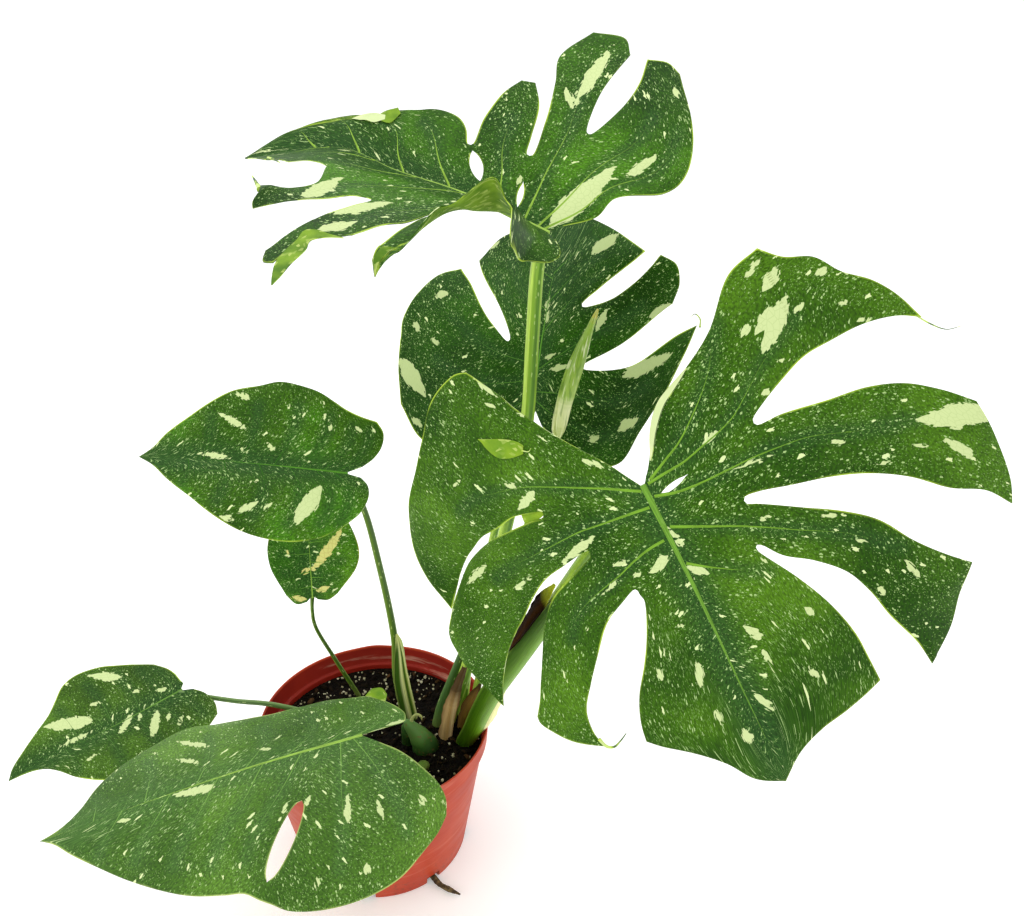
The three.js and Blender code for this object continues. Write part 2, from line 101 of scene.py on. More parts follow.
def throughPoints(points, perSpan=40):
    # A centripetal Catmull-Rom curve: each span blends straight lines between four neighbours,
    # with the square root of their distances as its clock.
    knots = np.asarray(points, float)
    knots = np.vstack([2 * knots[0] - knots[1], knots, 2 * knots[-1] - knots[-2]])
    spans = []
    for a, b, c, d in zip(knots, knots[1:], knots[2:], knots[3:]):
        t1 = max(np.linalg.norm(b - a) ** 0.5, 1e-4)
        t2 = t1 + max(np.linalg.norm(c - b) ** 0.5, 1e-4)
        t3 = t2 + max(np.linalg.norm(d - c) ** 0.5, 1e-4)
        t = np.linspace(t1, t2, perSpan, endpoint=False)[:, None]
        ab = ((t1 - t) * a + t * b) / t1
        bc = ((t2 - t) * b + (t - t1) * c) / (t2 - t1)
        cd = ((t3 - t) * c + (t - t2) * d) / (t3 - t2)
        abc = ((t2 - t) * ab + t * bc) / t2
        bcd = ((t3 - t) * bc + (t - t1) * cd) / (t3 - t1)
        spans.append(((t2 - t) * abc + (t - t1) * bcd) / (t2 - t1))
    return np.vstack(spans + [knots[-2:-1]])


def lengthsAlong(path):
    # The way walked from the first point to each point.
    return np.concatenate([[0], np.cumsum(np.linalg.norm(np.diff(path, axis=0), axis=1))])


def walked(path, fractions):
    # Points at these fractions of the path's length.
    lengths = lengthsAlong(path)
    return np.stack([np.interp(np.asarray(fractions) * lengths[-1], lengths, c) for c in path.T], -1)


def paired(first, second):
    # Two arrays, spread to one shape, as the two coordinates of each point.
    return np.stack(np.broadcast_arrays(first, second), -1)


def unit(vectors):
    # Each vector divided by its own length.
    return vectors / np.maximum(np.linalg.norm(vectors, axis=-1, keepdims=True), 1e-12)


def smoothStep(low, high, values):
    # 3 t^2 - 2 t^3, where t is the share of the way that a value has come from low to high.
    t = np.clip((values - low) / (high - low), 0, 1)
    return t * t * (3 - 2 * t)


def hills(x, y, cell, seed, levels=3):
    # Smooth noise from -1 to 1: random heights on a lattice, blended, with finer layers added.
    x, y = np.broadcast_arrays(np.asarray(x, float), np.asarray(y, float))
    table = np.random.default_rng(seed).random((64, 64))
    total = np.zeros(x.shape)
    for k in range(levels):
        u, v = x / cell * 2**k + 11.3 * k, y / cell * 2**k + 5.7 * k
        i, j = np.floor(u).astype(int), np.floor(v).astype(int)
        fu, fv = u - i, v - j
        fu, fv = fu * fu * (3 - 2 * fu), fv * fv * (3 - 2 * fv)
        i, j = i % 63, j % 63
        low = table[i, j] * (1 - fu) + table[i + 1, j] * fu
        high = table[i, j + 1] * (1 - fu) + table[i + 1, j + 1] * fu
        total += (low * (1 - fv) + high * fv - 0.5) * 2.0**-k
    return total


def gridFaces(rows, columns, flip=False):
    # Two triangles for each cell of a grid; their normal is (row direction) x (column direction).
    a = (np.arange(rows - 1)[:, None] * columns + np.arange(columns - 1)).ravel()
    b, c, d = a + 1, a + columns, a + columns + 1
    faces = np.concatenate([np.stack([a, c, d], 1), np.stack([a, d, b], 1)])
    return faces[:, ::-1] if flip else faces


def welded(points, faces, flow, numbers=None, keys=None, grain=0.004, material=0):
    # Points that round to one place, in steps of `grain` mm, become one, and triangles with no area go.
    # The flow map stays with each triangle's corners.
    keys = points if keys is None else keys
    places = np.round(keys / grain).astype(np.int64)
    _, first, index = np.unique(places, axis=0, return_index=True, return_inverse=True)
    joined = index.reshape(-1)[faces]
    a, b, c = joined.T
    whole = (a != b) & (b != c) & (c != a)
    return {
        "points": points[first],
        "faces": joined[whole],
        "flow": flow[faces][whole],
        "numbers": {name: values[first] for name, values in (numbers or {}).items()},
        "material": np.broadcast_to(material, len(faces))[whole],
    }


def pointNormals(points, faces):
    # The sum of the cross products of two sides of each triangle at the point, made one long.
    a, b, c = points[faces[:, 0]], points[faces[:, 1]], points[faces[:, 2]]
    facing = np.cross(b - a, c - a)
    normals = np.zeros_like(points)
    for k in range(3):
        np.add.at(normals, faces[:, k], facing)
    return unit(normals)


def thickened(sheet, thickness, materials=(0, 1, 2)):
    # The sheet moved half its thickness along its normals to either side, with a rim along its border.
    points, faces, flow = sheet["points"], sheet["faces"], sheet["flow"]
    count = len(points)
    offset = pointNormals(points, faces) * (np.asarray(thickness).reshape(-1, 1) / 2)
    start = np.concatenate([faces[:, 0], faces[:, 1], faces[:, 2]])
    end = np.concatenate([faces[:, 1], faces[:, 2], faces[:, 0]])
    border = ~np.isin(start * count + end, end * count + start)
    a, b = start[border], end[border]
    flowA = np.concatenate([flow[:, 0], flow[:, 1], flow[:, 2]])[border]
    flowB = np.concatenate([flow[:, 1], flow[:, 2], flow[:, 0]])[border]
    rim = [np.stack([a, b + count, b], 1), np.stack([a, a + count, b + count], 1)]
    rimFlow = [np.stack([flowA, flowB, flowB], 1), np.stack([flowA, flowA, flowB], 1)]
    sizes = [len(faces), len(faces), 2 * len(a)]
    return {
        "points": np.vstack([points + offset, points - offset]),
        "faces": np.vstack([faces, faces[:, ::-1] + count, *rim]),
        "flow": np.concatenate([flow, flow[:, ::-1], *rimFlow]),
        "numbers": {name: np.tile(values, 2) for name, values in sheet["numbers"].items()},
        "material": np.repeat(materials, sizes),
    }


def placed(path, offsets, reference):
    # Offsets are (side, front) from each path point: front leans to the reference direction, and side
    # is to its right.
    tangent = unit(np.gradient(path, axis=0))
    side = unit(np.cross(tangent, reference))
    front = np.cross(side, tangent)
    return path[:, None] + offsets[..., :1] * side[:, None] + offsets[..., 1:] * front[:, None]


def carried(path, offsets, flow=None, reference=(0.0, -1.0, 0.0), numbers=None, material=0):
    # A closed profile carried along a path, drawn to a point at both ends. By default its flow map is
    # (share of the way around, mm along).
    rows, columns = offsets.shape[:2]
    if flow is None:
        around = np.linspace(0, 1, columns)
        flow = paired(around[None], lengthsAlong(path)[:, None])
    ends = [np.repeat(path[k][None, None], columns, 1) for k in (0, -1)]
    points = np.concatenate([ends[0], placed(path, offsets, reference), ends[1]]).reshape(-1, 3)
    flow = np.concatenate([flow[:1], flow, flow[-1:]]).reshape(-1, 2)
    numbers = {name: np.concatenate([v[:1], v, v[-1:]]).ravel() for name, v in (numbers or {}).items()}
    return welded(points, gridFaces(rows + 2, columns), flow, numbers, material=material)


def ring(radiusSide, radiusFront, columns, groove=0.0):
    # Offsets of an ellipse, radius times (cos, sin). The groove is a bell curve around its place; its
    # depth is a share of the radius.
    around = np.linspace(0, 1, columns)
    grooveAt, grooveWidth = 0.2, 0.08  # shares of the way around
    gap = np.abs((around - grooveAt + 0.5) % 1 - 0.5)
    dent = 1 - groove * np.exp(-((gap / grooveWidth) ** 2))
    side = np.reshape(radiusSide, (-1, 1)) * (np.cos(2 * np.pi * around) * dent)
    front = np.reshape(radiusFront, (-1, 1)) * (np.sin(2 * np.pi * around) * dent)
    return paired(side, front)


def taperedPath(piece, rows):
    # Even shares of the length, the points there, and the radii blended between [share, radius] rows.
    shares = np.linspace(0, 1, rows)
    return shares, walked(throughPoints(piece["points"]), shares), np.interp(shares, *zip(*piece["radii"]))


def newObject(name, data):
    # An object at the origin that holds a mesh, a lamp or a camera.
    made = bpy.data.objects.new(name, data)
    bpy.context.scene.collection.objects.link(made)
    return made


def buildPiece(name, parts, materials, nodes, sharpAngle=50):
    # Parts are closed surfaces in millimetres; together they become one mesh in metres.
    counts = [len(part["points"]) for part in parts]
    starts = np.cumsum([0, *counts[:-1]])
    points = np.concatenate([part["points"] for part in parts])
    faces = np.concatenate([part["faces"] + start for part, start in zip(parts, starts)])
    flow = np.concatenate([part["flow"] for part in parts])
    index = np.concatenate([np.broadcast_to(part["material"], len(part["faces"])) for part in parts])
    mesh = bpy.data.meshes.new(name)
    mesh.from_pydata((points * 0.001).tolist(), [], faces.tolist())
    mesh.polygons.foreach_set("material_index", index.astype(np.int32))
    mesh.polygons.foreach_set("use_smooth", np.ones(len(faces), bool))
    mesh.uv_layers.new(name="flow").data.foreach_set("uv", flow.astype(np.float32).ravel())
    for key in sorted({key for part in parts for key in part["numbers"]}):
        values = [part["numbers"].get(key, np.full(count, farAway)) for part, count in zip(parts, counts)]
        values = np.concatenate(values).astype(np.float32)
        mesh.attributes.new(key, "FLOAT", "POINT").data.foreach_set("value", values)
    for material in materials:
        mesh.materials.append(material)
    mesh.update()
    mesh.set_sharp_from_angle(angle=math.radians(sharpAngle))
    piece = newObject(name, mesh)
    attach(piece, "root")
    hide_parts(*nodes)
    print(f"{name}: {len(faces)} triangles")


view = {
    "place": (0.0995, -0.544, 0.628),
    "tiltDown": 28.8,
    "lens": 35.16,
    "sensor": 36.0,
}


def setCamera():
    # It looks along +Y and down by the tilt, from its place in metres.
    camera = bpy.data.cameras.new("camera")
    camera.lens = view["lens"]
    camera.sensor_width = view["sensor"]
    camera.clip_start = 0.01
    camera.clip_end = 100
    holder = newObject("camera", camera)
    holder.location = view["place"]
    holder.rotation_euler = (math.radians(90 - view["tiltDown"]), 0, 0)
    bpy.context.scene.camera = holder


studio = {
    "floorReach": 12.0,
    "floorColour": "#fdfdfc",
    "floorRoughness": 0.9,
    "floorGlow": 0.18,
    "skyStrength": 1.05,
    "skyColour": "#fdfdff",
    # name: (place, aimed at, width, height, watts)
    "lamps": {
        "ceilingPanel": ((-0.15, 0.25, 1.9), (0.0, 0.0, 0.3), 1.8, 1.4, 13.0),
        "windowLeft": ((-1.7, -0.7, 1.2), (0.0, 0.0, 0.3), 1.2, 1.4, 9.0),
        "frontFill": ((0.9, -1.7, 1.1), (0.05, 0.0, 0.3), 1.2, 1.0, 4.0),
    },
}


def setStudio():
    # A pale floor and sky, and three panels, each turned from its place to the point it is aimed at.
    reach = studio["floorReach"]
    mesh = bpy.data.meshes.new("floor")
    corners = [(-reach, -reach, 0), (reach, -reach, 0), (reach, reach, 0), (-reach, reach, 0)]
    mesh.from_pydata(corners, [], [(0, 1, 2, 3)])
    # Matt white paper: no gloss, the faintest unevenness of tone.
    material, tree = startMaterial("matt white paper")
    place = node(tree, "TexCoord").outputs["Object"]
    cloud = node(tree, "TexNoise", {"Vector": place, "Scale": 3.0, "Detail": 2.0})
    tone = node(tree, "ValToRGB", {"Fac": cloud}, ramp=[(0.3, "#fafaf9"), (0.7, studio["floorColour"])])
    glow = {"Emission Color": "#ffffff", "Emission Strength": studio["floorGlow"]}
    finishMaterial(material, {"Base Color": tone, "Roughness": studio["floorRoughness"], **glow})
    mesh.materials.append(material)
    floor = newObject("floor", mesh)

    world = bpy.data.worlds.new("pale room")
    world.use_nodes = True
    sky = {"Color": studio["skyColour"], "Strength": studio["skyStrength"]}
    setInputs(world.node_tree, world.node_tree.nodes["Background"], sky)
    bpy.context.scene.world = world
    bpy.context.scene.view_settings.view_transform = "Standard"

    for name, (place, aim, width, height, watts) in studio["lamps"].items():
        lamp = bpy.data.lights.new(name, "AREA")
        lamp.shape = "RECTANGLE"
        lamp.size = width
        lamp.size_y = height
        lamp.energy = watts
        holder = newObject(name, lamp)
        holder.location = place
        back = np.subtract(place, aim)
        across = math.hypot(back[0], back[1])
        holder.rotation_euler = (math.atan2(across, back[2]), 0, math.atan2(back[0], -back[1]))


setCamera()
setStudio()
print("camera and studio ready")

# A blade is laid out flat and then bent. Flat places are (u, v): u across the midrib, positive to
# the right looking from the stalk to the tip, and v along it. Each half leaves the midrib at the
# angle `fold` and turns down by `droop` degrees in 100 mm; past `curlFrom` it curls up by `curl`
# degrees in 10 mm. Rows of [v, fold, droop, curlFrom, curl] blend along the midrib.


def easedRows(rows, v, column):
    # Half a cosine between one row's value and the next one's.
    rows = np.asarray([list(row) + [0] * (5 - len(row)) for row in rows], float)
    if len(rows) == 1:
        return np.full(np.shape(v), rows[0, column])
    i = np.clip(np.searchsorted(rows[:, 0], v) - 1, 0, len(rows) - 2)
    q = np.clip((v - rows[i, 0]) / (rows[i + 1, 0] - rows[i, 0]), 0, 1)
    q = (1 - np.cos(np.pi * q)) / 2
    return rows[i, column] * (1 - q) + rows[i + 1, column] * q


def arcOffsets(start, rate, reach):
    # Across and up after `reach` mm on an arc that starts at an angle and turns down at a rate.
    rate = np.where(np.abs(rate) < 1e-6, 1e-6, rate)
    end = start - rate * reach
    return (np.sin(start) - np.sin(end)) / rate, (np.cos(end) - np.cos(start)) / rate, end


def leafBender(leaf):
    # The midrib is a curve through the rib points. From its point at v, a place goes out along the arcs
    # of its half, and `lift` mm along the blade's normal; `roll` turns both halves about the midrib.
    rib = throughPoints(leaf["rib"], 60)
    lengths = lengthsAlong(rib)
    total = lengths[-1]
    roll = math.radians(leaf["roll"])

    def onRib(v):
        # The midrib's point v mm along it.
        return np.stack([np.interp(v, lengths, column) for column in rib.T], -1)

    def place(u, v, lift=0.0):
        # Out along the half's two arcs, then `lift` mm square to the second.
        u, v, lift = np.broadcast_arrays(*(np.asarray(x, float) for x in (u, v, lift)))
        inside = np.clip(v, 0, total)
        before, after = np.clip(inside - 4, 0, total), np.clip(inside + 4, 0, total)
        tangent = unit(onRib(after) - onRib(before))
        point = onRib(inside) + tangent * (v - inside)[..., None]
        level = unit(np.cross(tangent, [0.0, 0.0, 1.0]))
        upright = np.cross(level, tangent)
        across = math.cos(roll) * level + math.sin(roll) * upright
        normal = math.cos(roll) * upright - math.sin(roll) * level
        rows = [leaf["shape"], leaf.get("leftShape", leaf["shape"])]
        fold, droop, curlFrom, curl = (
            np.where(u >= 0, easedRows(rows[0], v, k), easedRows(rows[1], v, k)) for k in range(1, 5)
        )
        reach = np.abs(u)
        flat = np.where(curl != 0, np.minimum(reach, curlFrom), reach)
        out, up, turned = arcOffsets(np.radians(fold), np.radians(droop) / 100, flat)
        outMore, upMore, turned = arcOffsets(turned, np.radians(droop / 100 - curl / 10), reach - flat)
        out, up = out + outMore, up + upMore
        sign = np.where(u < 0, -1.0, 1.0)
        out = sign * (out - np.sin(turned) * lift)
        up = up + np.cos(turned) * lift
        return point + out[..., None] * across + up[..., None] * normal

    return place


def lobeEdge(start, margin, slot, way, step, columns, roundness):
    # Straight through the web to the notch, opened by an optional slot, then along the free margin,
    # which leaves the notch sideways so that the notch is round.
    start, notch = np.asarray(start, float), np.asarray(margin[0], float)
    along = notch - start
    reach = np.linalg.norm(along)
    across = np.array([along[1], -along[0]]) / reach * way
    web = columns if len(margin) == 1 else min(columns - 4, max(4, round(reach / step)))
    t = np.linspace(0, 1, web + 1)
    push = np.zeros_like(t)
    if slot:
        inside = np.clip((t - slot["from"]) / (slot["to"] - slot["from"]), 0, 1)
        push = slot["half"] * np.sin(np.pi * inside) ** slot.get("power", 0.7)
        push[np.abs(push) < 1e-4] = 0
    points = start + along * t[:, None] + across * push[:, None]
    if len(margin) > 1:
        if roundness:
            margin = [notch, notch + across * roundness + along / reach * roundness * 0.45, *margin[1:]]
        free = walked(throughPoints(margin), np.linspace(0, 1, columns - web + 1))[1:]
        points = np.vstack([points, free])
    cut = np.concatenate([push != 0, np.ones(columns - web, bool)])
    return points, cut


def edgeColumns(start, margin, step):
    # The edge's length through the web and along the free margin, in steps.
    web = math.dist(start, margin[0]) / step
    free = lengthsAlong(throughPoints(margin))[-1] / step if len(margin) > 1 else 0
    return round(web) + math.ceil(free)


def leafStations(leaf):
    # Rows of both halves meet the midrib in the same places; each lateral vein has a row of its own.
    lobes = leaf["right"] + leaf["left"]
    cuts = sorted({v for lobe in lobes for v in (*lobe["root"], *lobe["veins"])})
    stations = [np.array([cuts[0]])]
    for low, high in zip(cuts, cuts[1:]):
        need = 2
        for lobe in lobes:
            first, last = lobe["root"]
            if first <= low and high <= last:
                corners = [lobe["lead"][-1], *lobe["end"], lobe.get("trail", [[0, last]])[-1]]
                rim = lengthsAlong(throughPoints(corners))[-1]
                need = max(need, math.ceil(rim / leaf["step"] * (high - low) / (last - first)))
        stations.append(np.linspace(low, high, need + 1)[1:])
    return np.concatenate(stations)


def lobeGrid(lobe, side, stations, leaf, leafNumber, after):
    # A Coons patch: edges, root and end are blended, less the blend of the corners. Then its inner
    # points are averaged with their neighbours again and again, so that its rows run smoothly.
    step = leaf["step"]
    first, last = lobe["root"]
    tip = [0, last]
    columns = edgeColumns([0, first], lobe["lead"], step)
    if "trail" in lobe:
        columns = max(columns, edgeColumns(tip, lobe["trail"], step))
    rows = stations[(stations >= first - 1e-9) & (stations <= last + 1e-9)]
    s = ((rows - first) / (last - first))[:, None, None]
    t = np.linspace(0, 1, columns + 1)[None, :, None]
    notch = leaf["notch"] if first > 0 else 0.0
    lead, leadCut = lobeEdge([0, first], lobe["lead"], lobe.get("leadSlot"), -side, step, columns, notch)
    if "trail" in lobe:
        notch = leaf["notch"] if after else 0.0
        trail, trailCut = lobeEdge(tip, lobe["trail"], (after or {}).get("leadSlot"), side, step, columns, notch)
    else:
        trail, trailCut = np.tile(np.array(tip, float), (columns + 1, 1)), np.zeros(columns + 1, bool)
    end = walked(throughPoints([lead[-1], *lobe["end"], trail[-1]]), s[:, 0, 0])[:, None]
    root = np.stack([np.zeros_like(rows), rows], -1)[:, None]
    corners = (1 - t) * ((1 - s) * lead[0] + s * trail[0]) + t * ((1 - s) * lead[-1] + s * trail[-1])
    flat = (1 - s) * lead[None] + s * trail[None] + (1 - t) * root + t * end - corners
    flat[..., 0] = side * np.abs(flat[..., 0])
    for _ in range(leaf["smoothing"]):
        flat[1:-1, 1:-1] = (flat[:-2, 1:-1] + flat[2:, 1:-1] + flat[1:-1, :-2] + flat[1:-1, 2:]) / 4

    acrossSteps = np.linalg.norm(np.diff(flat, axis=0), axis=-1)
    across = np.concatenate([np.zeros((1, columns + 1)), np.cumsum(acrossSteps, 0)])
    alongSteps = np.linalg.norm(np.diff(flat, axis=1), axis=-1)
    along = np.concatenate([np.zeros((len(rows), 1)), np.cumsum(alongSteps, 1)], 1)
    margin = np.concatenate([lead[leadCut], trail[trailCut], end[:, 0]])
    margin[:, 0] = side * np.abs(margin[:, 0])

    veins = [np.asarray(line, float) for line in lobe.get("lines", [])]
    if "lines" not in lobe:
        for v in lobe["veins"]:
            row = flat[int(np.argmin(np.abs(rows - v)))]
            veins.append(row[: max(8, int(len(row) * leaf["veinShare"]))])
    # Each lobe has another part of the pattern.
    shift = [leafNumber * 400 + first * 3 + side * 90, leafNumber * 170]
    onMargin = np.zeros(across.shape, bool)
    onMargin[:, -1], onMargin[0], onMargin[-1] = True, leadCut, trailCut
    return {
        "flat": flat, "flow": np.stack([across, along], -1) + shift, "along": along,
        "margin": margin, "onMargin": onMargin, "veins": veins, "side": side,
    }


def nearest(places, line):
    # Distance from each place to the nearest point of a dense line.
    rows = places.reshape(-1, 2)
    parts = np.array_split(rows, 1 + len(rows) // 4000)
    gaps = [np.linalg.norm(part[:, None] - line[None], axis=-1).min(1) for part in parts]
    return np.concatenate(gaps).reshape(places.shape[:-1])


def densely(line, spacing=1.0):
    # The curve through a line's points, as points about one spacing apart.
    path = throughPoints(line, 12)
    return walked(path, np.linspace(0, 1, max(4, int(lengthsAlong(path)[-1] / spacing))))


def surfaceLift(leaf, flat, vein, edge):
    # The blade swells between its veins, dips at the veins and the midrib, and waves at its margin.
    u, v = flat[..., 0], flat[..., 1]
    reach = np.abs(u)
    lift = leaf["quilt"] * (1 - np.exp(-((vein / 9.0) ** 1.5))) * smoothStep(2, 26, reach)
    lift -= leaf["ribValley"] * np.exp(-((reach / 4.5) ** 2))
    lift += leaf["wave"] * hills(u + 300, v + 300, 26.0, 31, 2) * np.exp(-edge / 14) * smoothStep(4, 24, reach) * 2
    lift += leaf["swell"] * hills(u + 100, v + 500, 60.0, 47, 2) * smoothStep(4, 30, reach)
    lift -= leaf["marginDip"] * np.exp(-((edge / 3.0) ** 2)) * smoothStep(4, 20, reach)
    return lift


def creamField(leaf, flat):
    # How far outside the nearest cream patch a point lies, in mm, for pointed lenses of (u, v, length,
    # width, angle): at the share a of its half length a lens is 1 - a^2 times its full width. Hills 6 mm
    # across bend the outlines.
    field = np.full(flat.shape[:-1], farAway)
    bend = 1.6 * hills(flat[..., 0] + 300, flat[..., 1] + 300, 6.0, 77, 2)
    for u, v, length, width, angle in leaf["patches"]:
        turn = math.radians(angle)
        du, dv = flat[..., 0] - u, flat[..., 1] - v
        a = (du * math.cos(turn) + dv * math.sin(turn)) / (length / 2)
        b = (dv * math.cos(turn) - du * math.sin(turn)) / (width / 2)
        b = b / (1 - 0.3 * np.clip(a, -1, 1))
        field = np.minimum(field, (np.abs(b) - 1.1 * (1 - a * a)) * width / 2 + bend * min(1, width / 8))
    return field


def leafPiece(leaf, leafNumber):
    # Each lobe's flat grid is lifted, bent onto the leaf and welded to the others at the midrib. Bars for
    # the midrib and the veins, turned-over flaps and torn tendrils are added.
    place = leafBender(leaf)
    stations = leafStations(leaf)
    grids = []
    for name, side in (("right", 1), ("left", -1)):
        for lobe, after in zip(leaf[name], [*leaf[name][1:], None]):
            grids.append(lobeGrid(lobe, side, stations, leaf, leafNumber, after))
    margin = np.concatenate([grid["margin"] for grid in grids])
    veinDots = {
        side: np.concatenate([densely(line) for grid in grids if grid["side"] == side for line in grid["veins"]])
        for side in (1, -1)
    }

    def liftAt(flat, side):
        # The lift of any places on one half.
        return surfaceLift(leaf, flat, nearest(flat, veinDots[side]), nearest(flat, margin))

    flats, points, flows, faces, offset = [], [], [], [], 0
    numbers = {key: [] for key in ("vein", "edge", "along")}
    for grid in grids:
        flat = grid["flat"]
        rows, columns = flat.shape[:2]
        vein, edge = nearest(flat, veinDots[grid["side"]]), nearest(flat, margin)
        edge[grid["onMargin"]] = 0
        solid = place(flat[..., 0], flat[..., 1], surfaceLift(leaf, flat, vein, edge))
        flats.append(flat.reshape(-1, 2))
        points.append(solid.reshape(-1, 3))
        flows.append(grid["flow"].reshape(-1, 2))
        faces.append(gridFaces(rows, columns, flip=grid["side"] > 0) + offset)
        for key, values in (("vein", vein), ("edge", edge), ("along", grid["along"])):
            numbers[key].append(values.ravel())
        offset += rows * columns
    flat = np.concatenate(flats)
    numbers = {key: np.concatenate(values) for key, values in numbers.items()}
    numbers["rib"] = np.abs(flat[:, 0])
    numbers["cream"] = creamField(leaf, flat)
    points, faces, flows = (np.concatenate(lists) for lists in (points, faces, flows))
    sheet = welded(points, faces, flows, numbers, keys=flat, grain=0.01)
    parts = [thickened(sheet, leaf["thickness"])]
    normals = pointNormals(sheet["points"], sheet["faces"])

    # The midrib, a bar that stands a little out of the top and more out of the underside. Its half width
    # goes with 0.1 + 0.9 t^1.4, where t falls from 1 at the stalk to 0.
    length = lengthsAlong(throughPoints(leaf["rib"], 60))[-1] * leaf["ribShare"]
    v = np.linspace(-1.5, length, 80)
    half = leaf["ribWidth"] / 2 * (0.1 + 0.9 * np.clip(1 - v / length, 0, 1) ** 1.4)
    ribPath = place(0.0, v, -leaf["ribValley"] - half * 0.72 + 0.12)
    normal = unit(place(0.0, v, 1.0) - place(0.0, v, 0.0))
    parts.append(bladeBar(ribPath, ring(half, half * 1.1, 21), normal, v * 0.5, leafNumber, 3))

    # The lateral veins, ridges on both faces that grow out of the midrib and thin to 0.22 of their width.
    for grid in grids:
        for line in grid["veins"]:
            path = densely(line, 1.6)
            fade = np.linspace(1, 0, len(path))
            solid = place(path[:, 0], path[:, 1], liftAt(path, grid["side"]) - 0.1)
            facing = nearestNormals(sheet["points"], normals, solid)
            half = leaf["veinWidth"] / 2 * (0.22 + 0.78 * fade)
            offsets = ring(half, leaf["thickness"] / 2 + 0.1 + 0.16 * fade, 9)
            parts.append(bladeBar(solid, offsets, facing, lengthsAlong(path), leafNumber, 4))
    for flap in leaf.get("flaps", []):
        parts.append(flapPart(leaf, flap, place, liftAt))
    for line in leaf.get("tendrils", []):
        path = throughPoints(line["points"], 10)
        solid = place(path[:, 0], path[:, 1], path[:, 2])
        radius = line["radius"] * (0.25 + 0.75 * np.linspace(1, 0, len(path)))
        parts.append(carried(solid, ring(radius, radius, 9), material=2))
    name, finish = leaf["name"], leaf["finish"]
    materials = [
        leafTopMaterial(f"glossy leaf skin {name}", finish),
        leafUnderMaterial(f"leaf underside {name}", finish),
        leafMarginMaterial(f"leaf margin {name}", finish["green"], finish["rim"], finish["cream"]),
        leafTopMaterial(f"midrib {name}", finish, finish["midrib"]),
        leafTopMaterial(f"lateral vein {name}", finish, finish["vein"]),
        leafMarginMaterial(f"cream margin {name}", finish["cream"], finish["cream"], "#d6dca2"),
    ]
    buildPiece(name, parts, materials, [leaf["node"]])


def flapPart(leaf, flap, place, liftAt):
    # A strip of margin folded back over the blade, so that its underside shows. It runs from the margin
    # to an inner line, or is widest in its middle, and rises from the margin inwards.
    path = densely(flap["line"], 1.2)
    tangent = unit(np.gradient(path, axis=0))
    right = np.stack([tangent[:, 1], -tangent[:, 0]], -1)
    t = np.linspace(0, 1, len(path))
    q = np.linspace(0, 1, 9)[None]
    if "inner" in flap:
        reach = walked(throughPoints(flap["inner"], 12), t) - path
        bulge = q
    else:
        width = flap["width"] * np.sin(np.pi * np.clip(t, 0.02, 0.98)) ** 0.6
        reach = right * flap["turn"] * width[:, None]
        bulge = np.sin(q * 1.75)
    flat = path[:, None] + reach[:, None] * bulge[..., None]
    width = np.linalg.norm(reach, axis=-1)[:, None]
    side = 1 if path[:, 0].mean() > 0 else -1
    lift = liftAt(flat, side) + flap.get("lift", 0.35) + flap["rise"] * width * (0.25 + 0.75 * q) * q
    solid = place(flat[..., 0], flat[..., 1], lift)
    flow = paired(q * width, lengthsAlong(path)[:, None])
    made = gridFaces(len(path), q.size, flip=(reach * right).sum() < 0)
    sheet = welded(solid.reshape(-1, 3), made, flow.reshape(-1, 2))
    skin = flap.get("top", 1)
    return thickened(sheet, leaf["thickness"], (skin, skin, 2))


def nearestNormals(points, normals, path):
    # The normal of the blade's point nearest to each point of the path.
    gaps = np.linalg.norm(path[:, None] - points[None], axis=-1)
    return normals[gaps.argmin(1)]


def bladeBar(path, offsets, facing, along, leafNumber, material):
    # A bar carried along the blade, its front on the blade's normal. It knows how far along it each
    # point is, and which points are below the blade.
    shape = offsets.shape[:2]
    flow = paired(offsets[..., 0] + leafNumber * 37, lengthsAlong(path)[:, None])
    numbers = {
        "along": np.broadcast_to(along[:, None], shape),
        "rib": np.full(shape, 6.0),  # as if 6 mm from the midrib
        "below": (offsets[..., 1] < 0) * 1.0,
    }
    return carried(path, offsets, flow, facing, numbers, material)


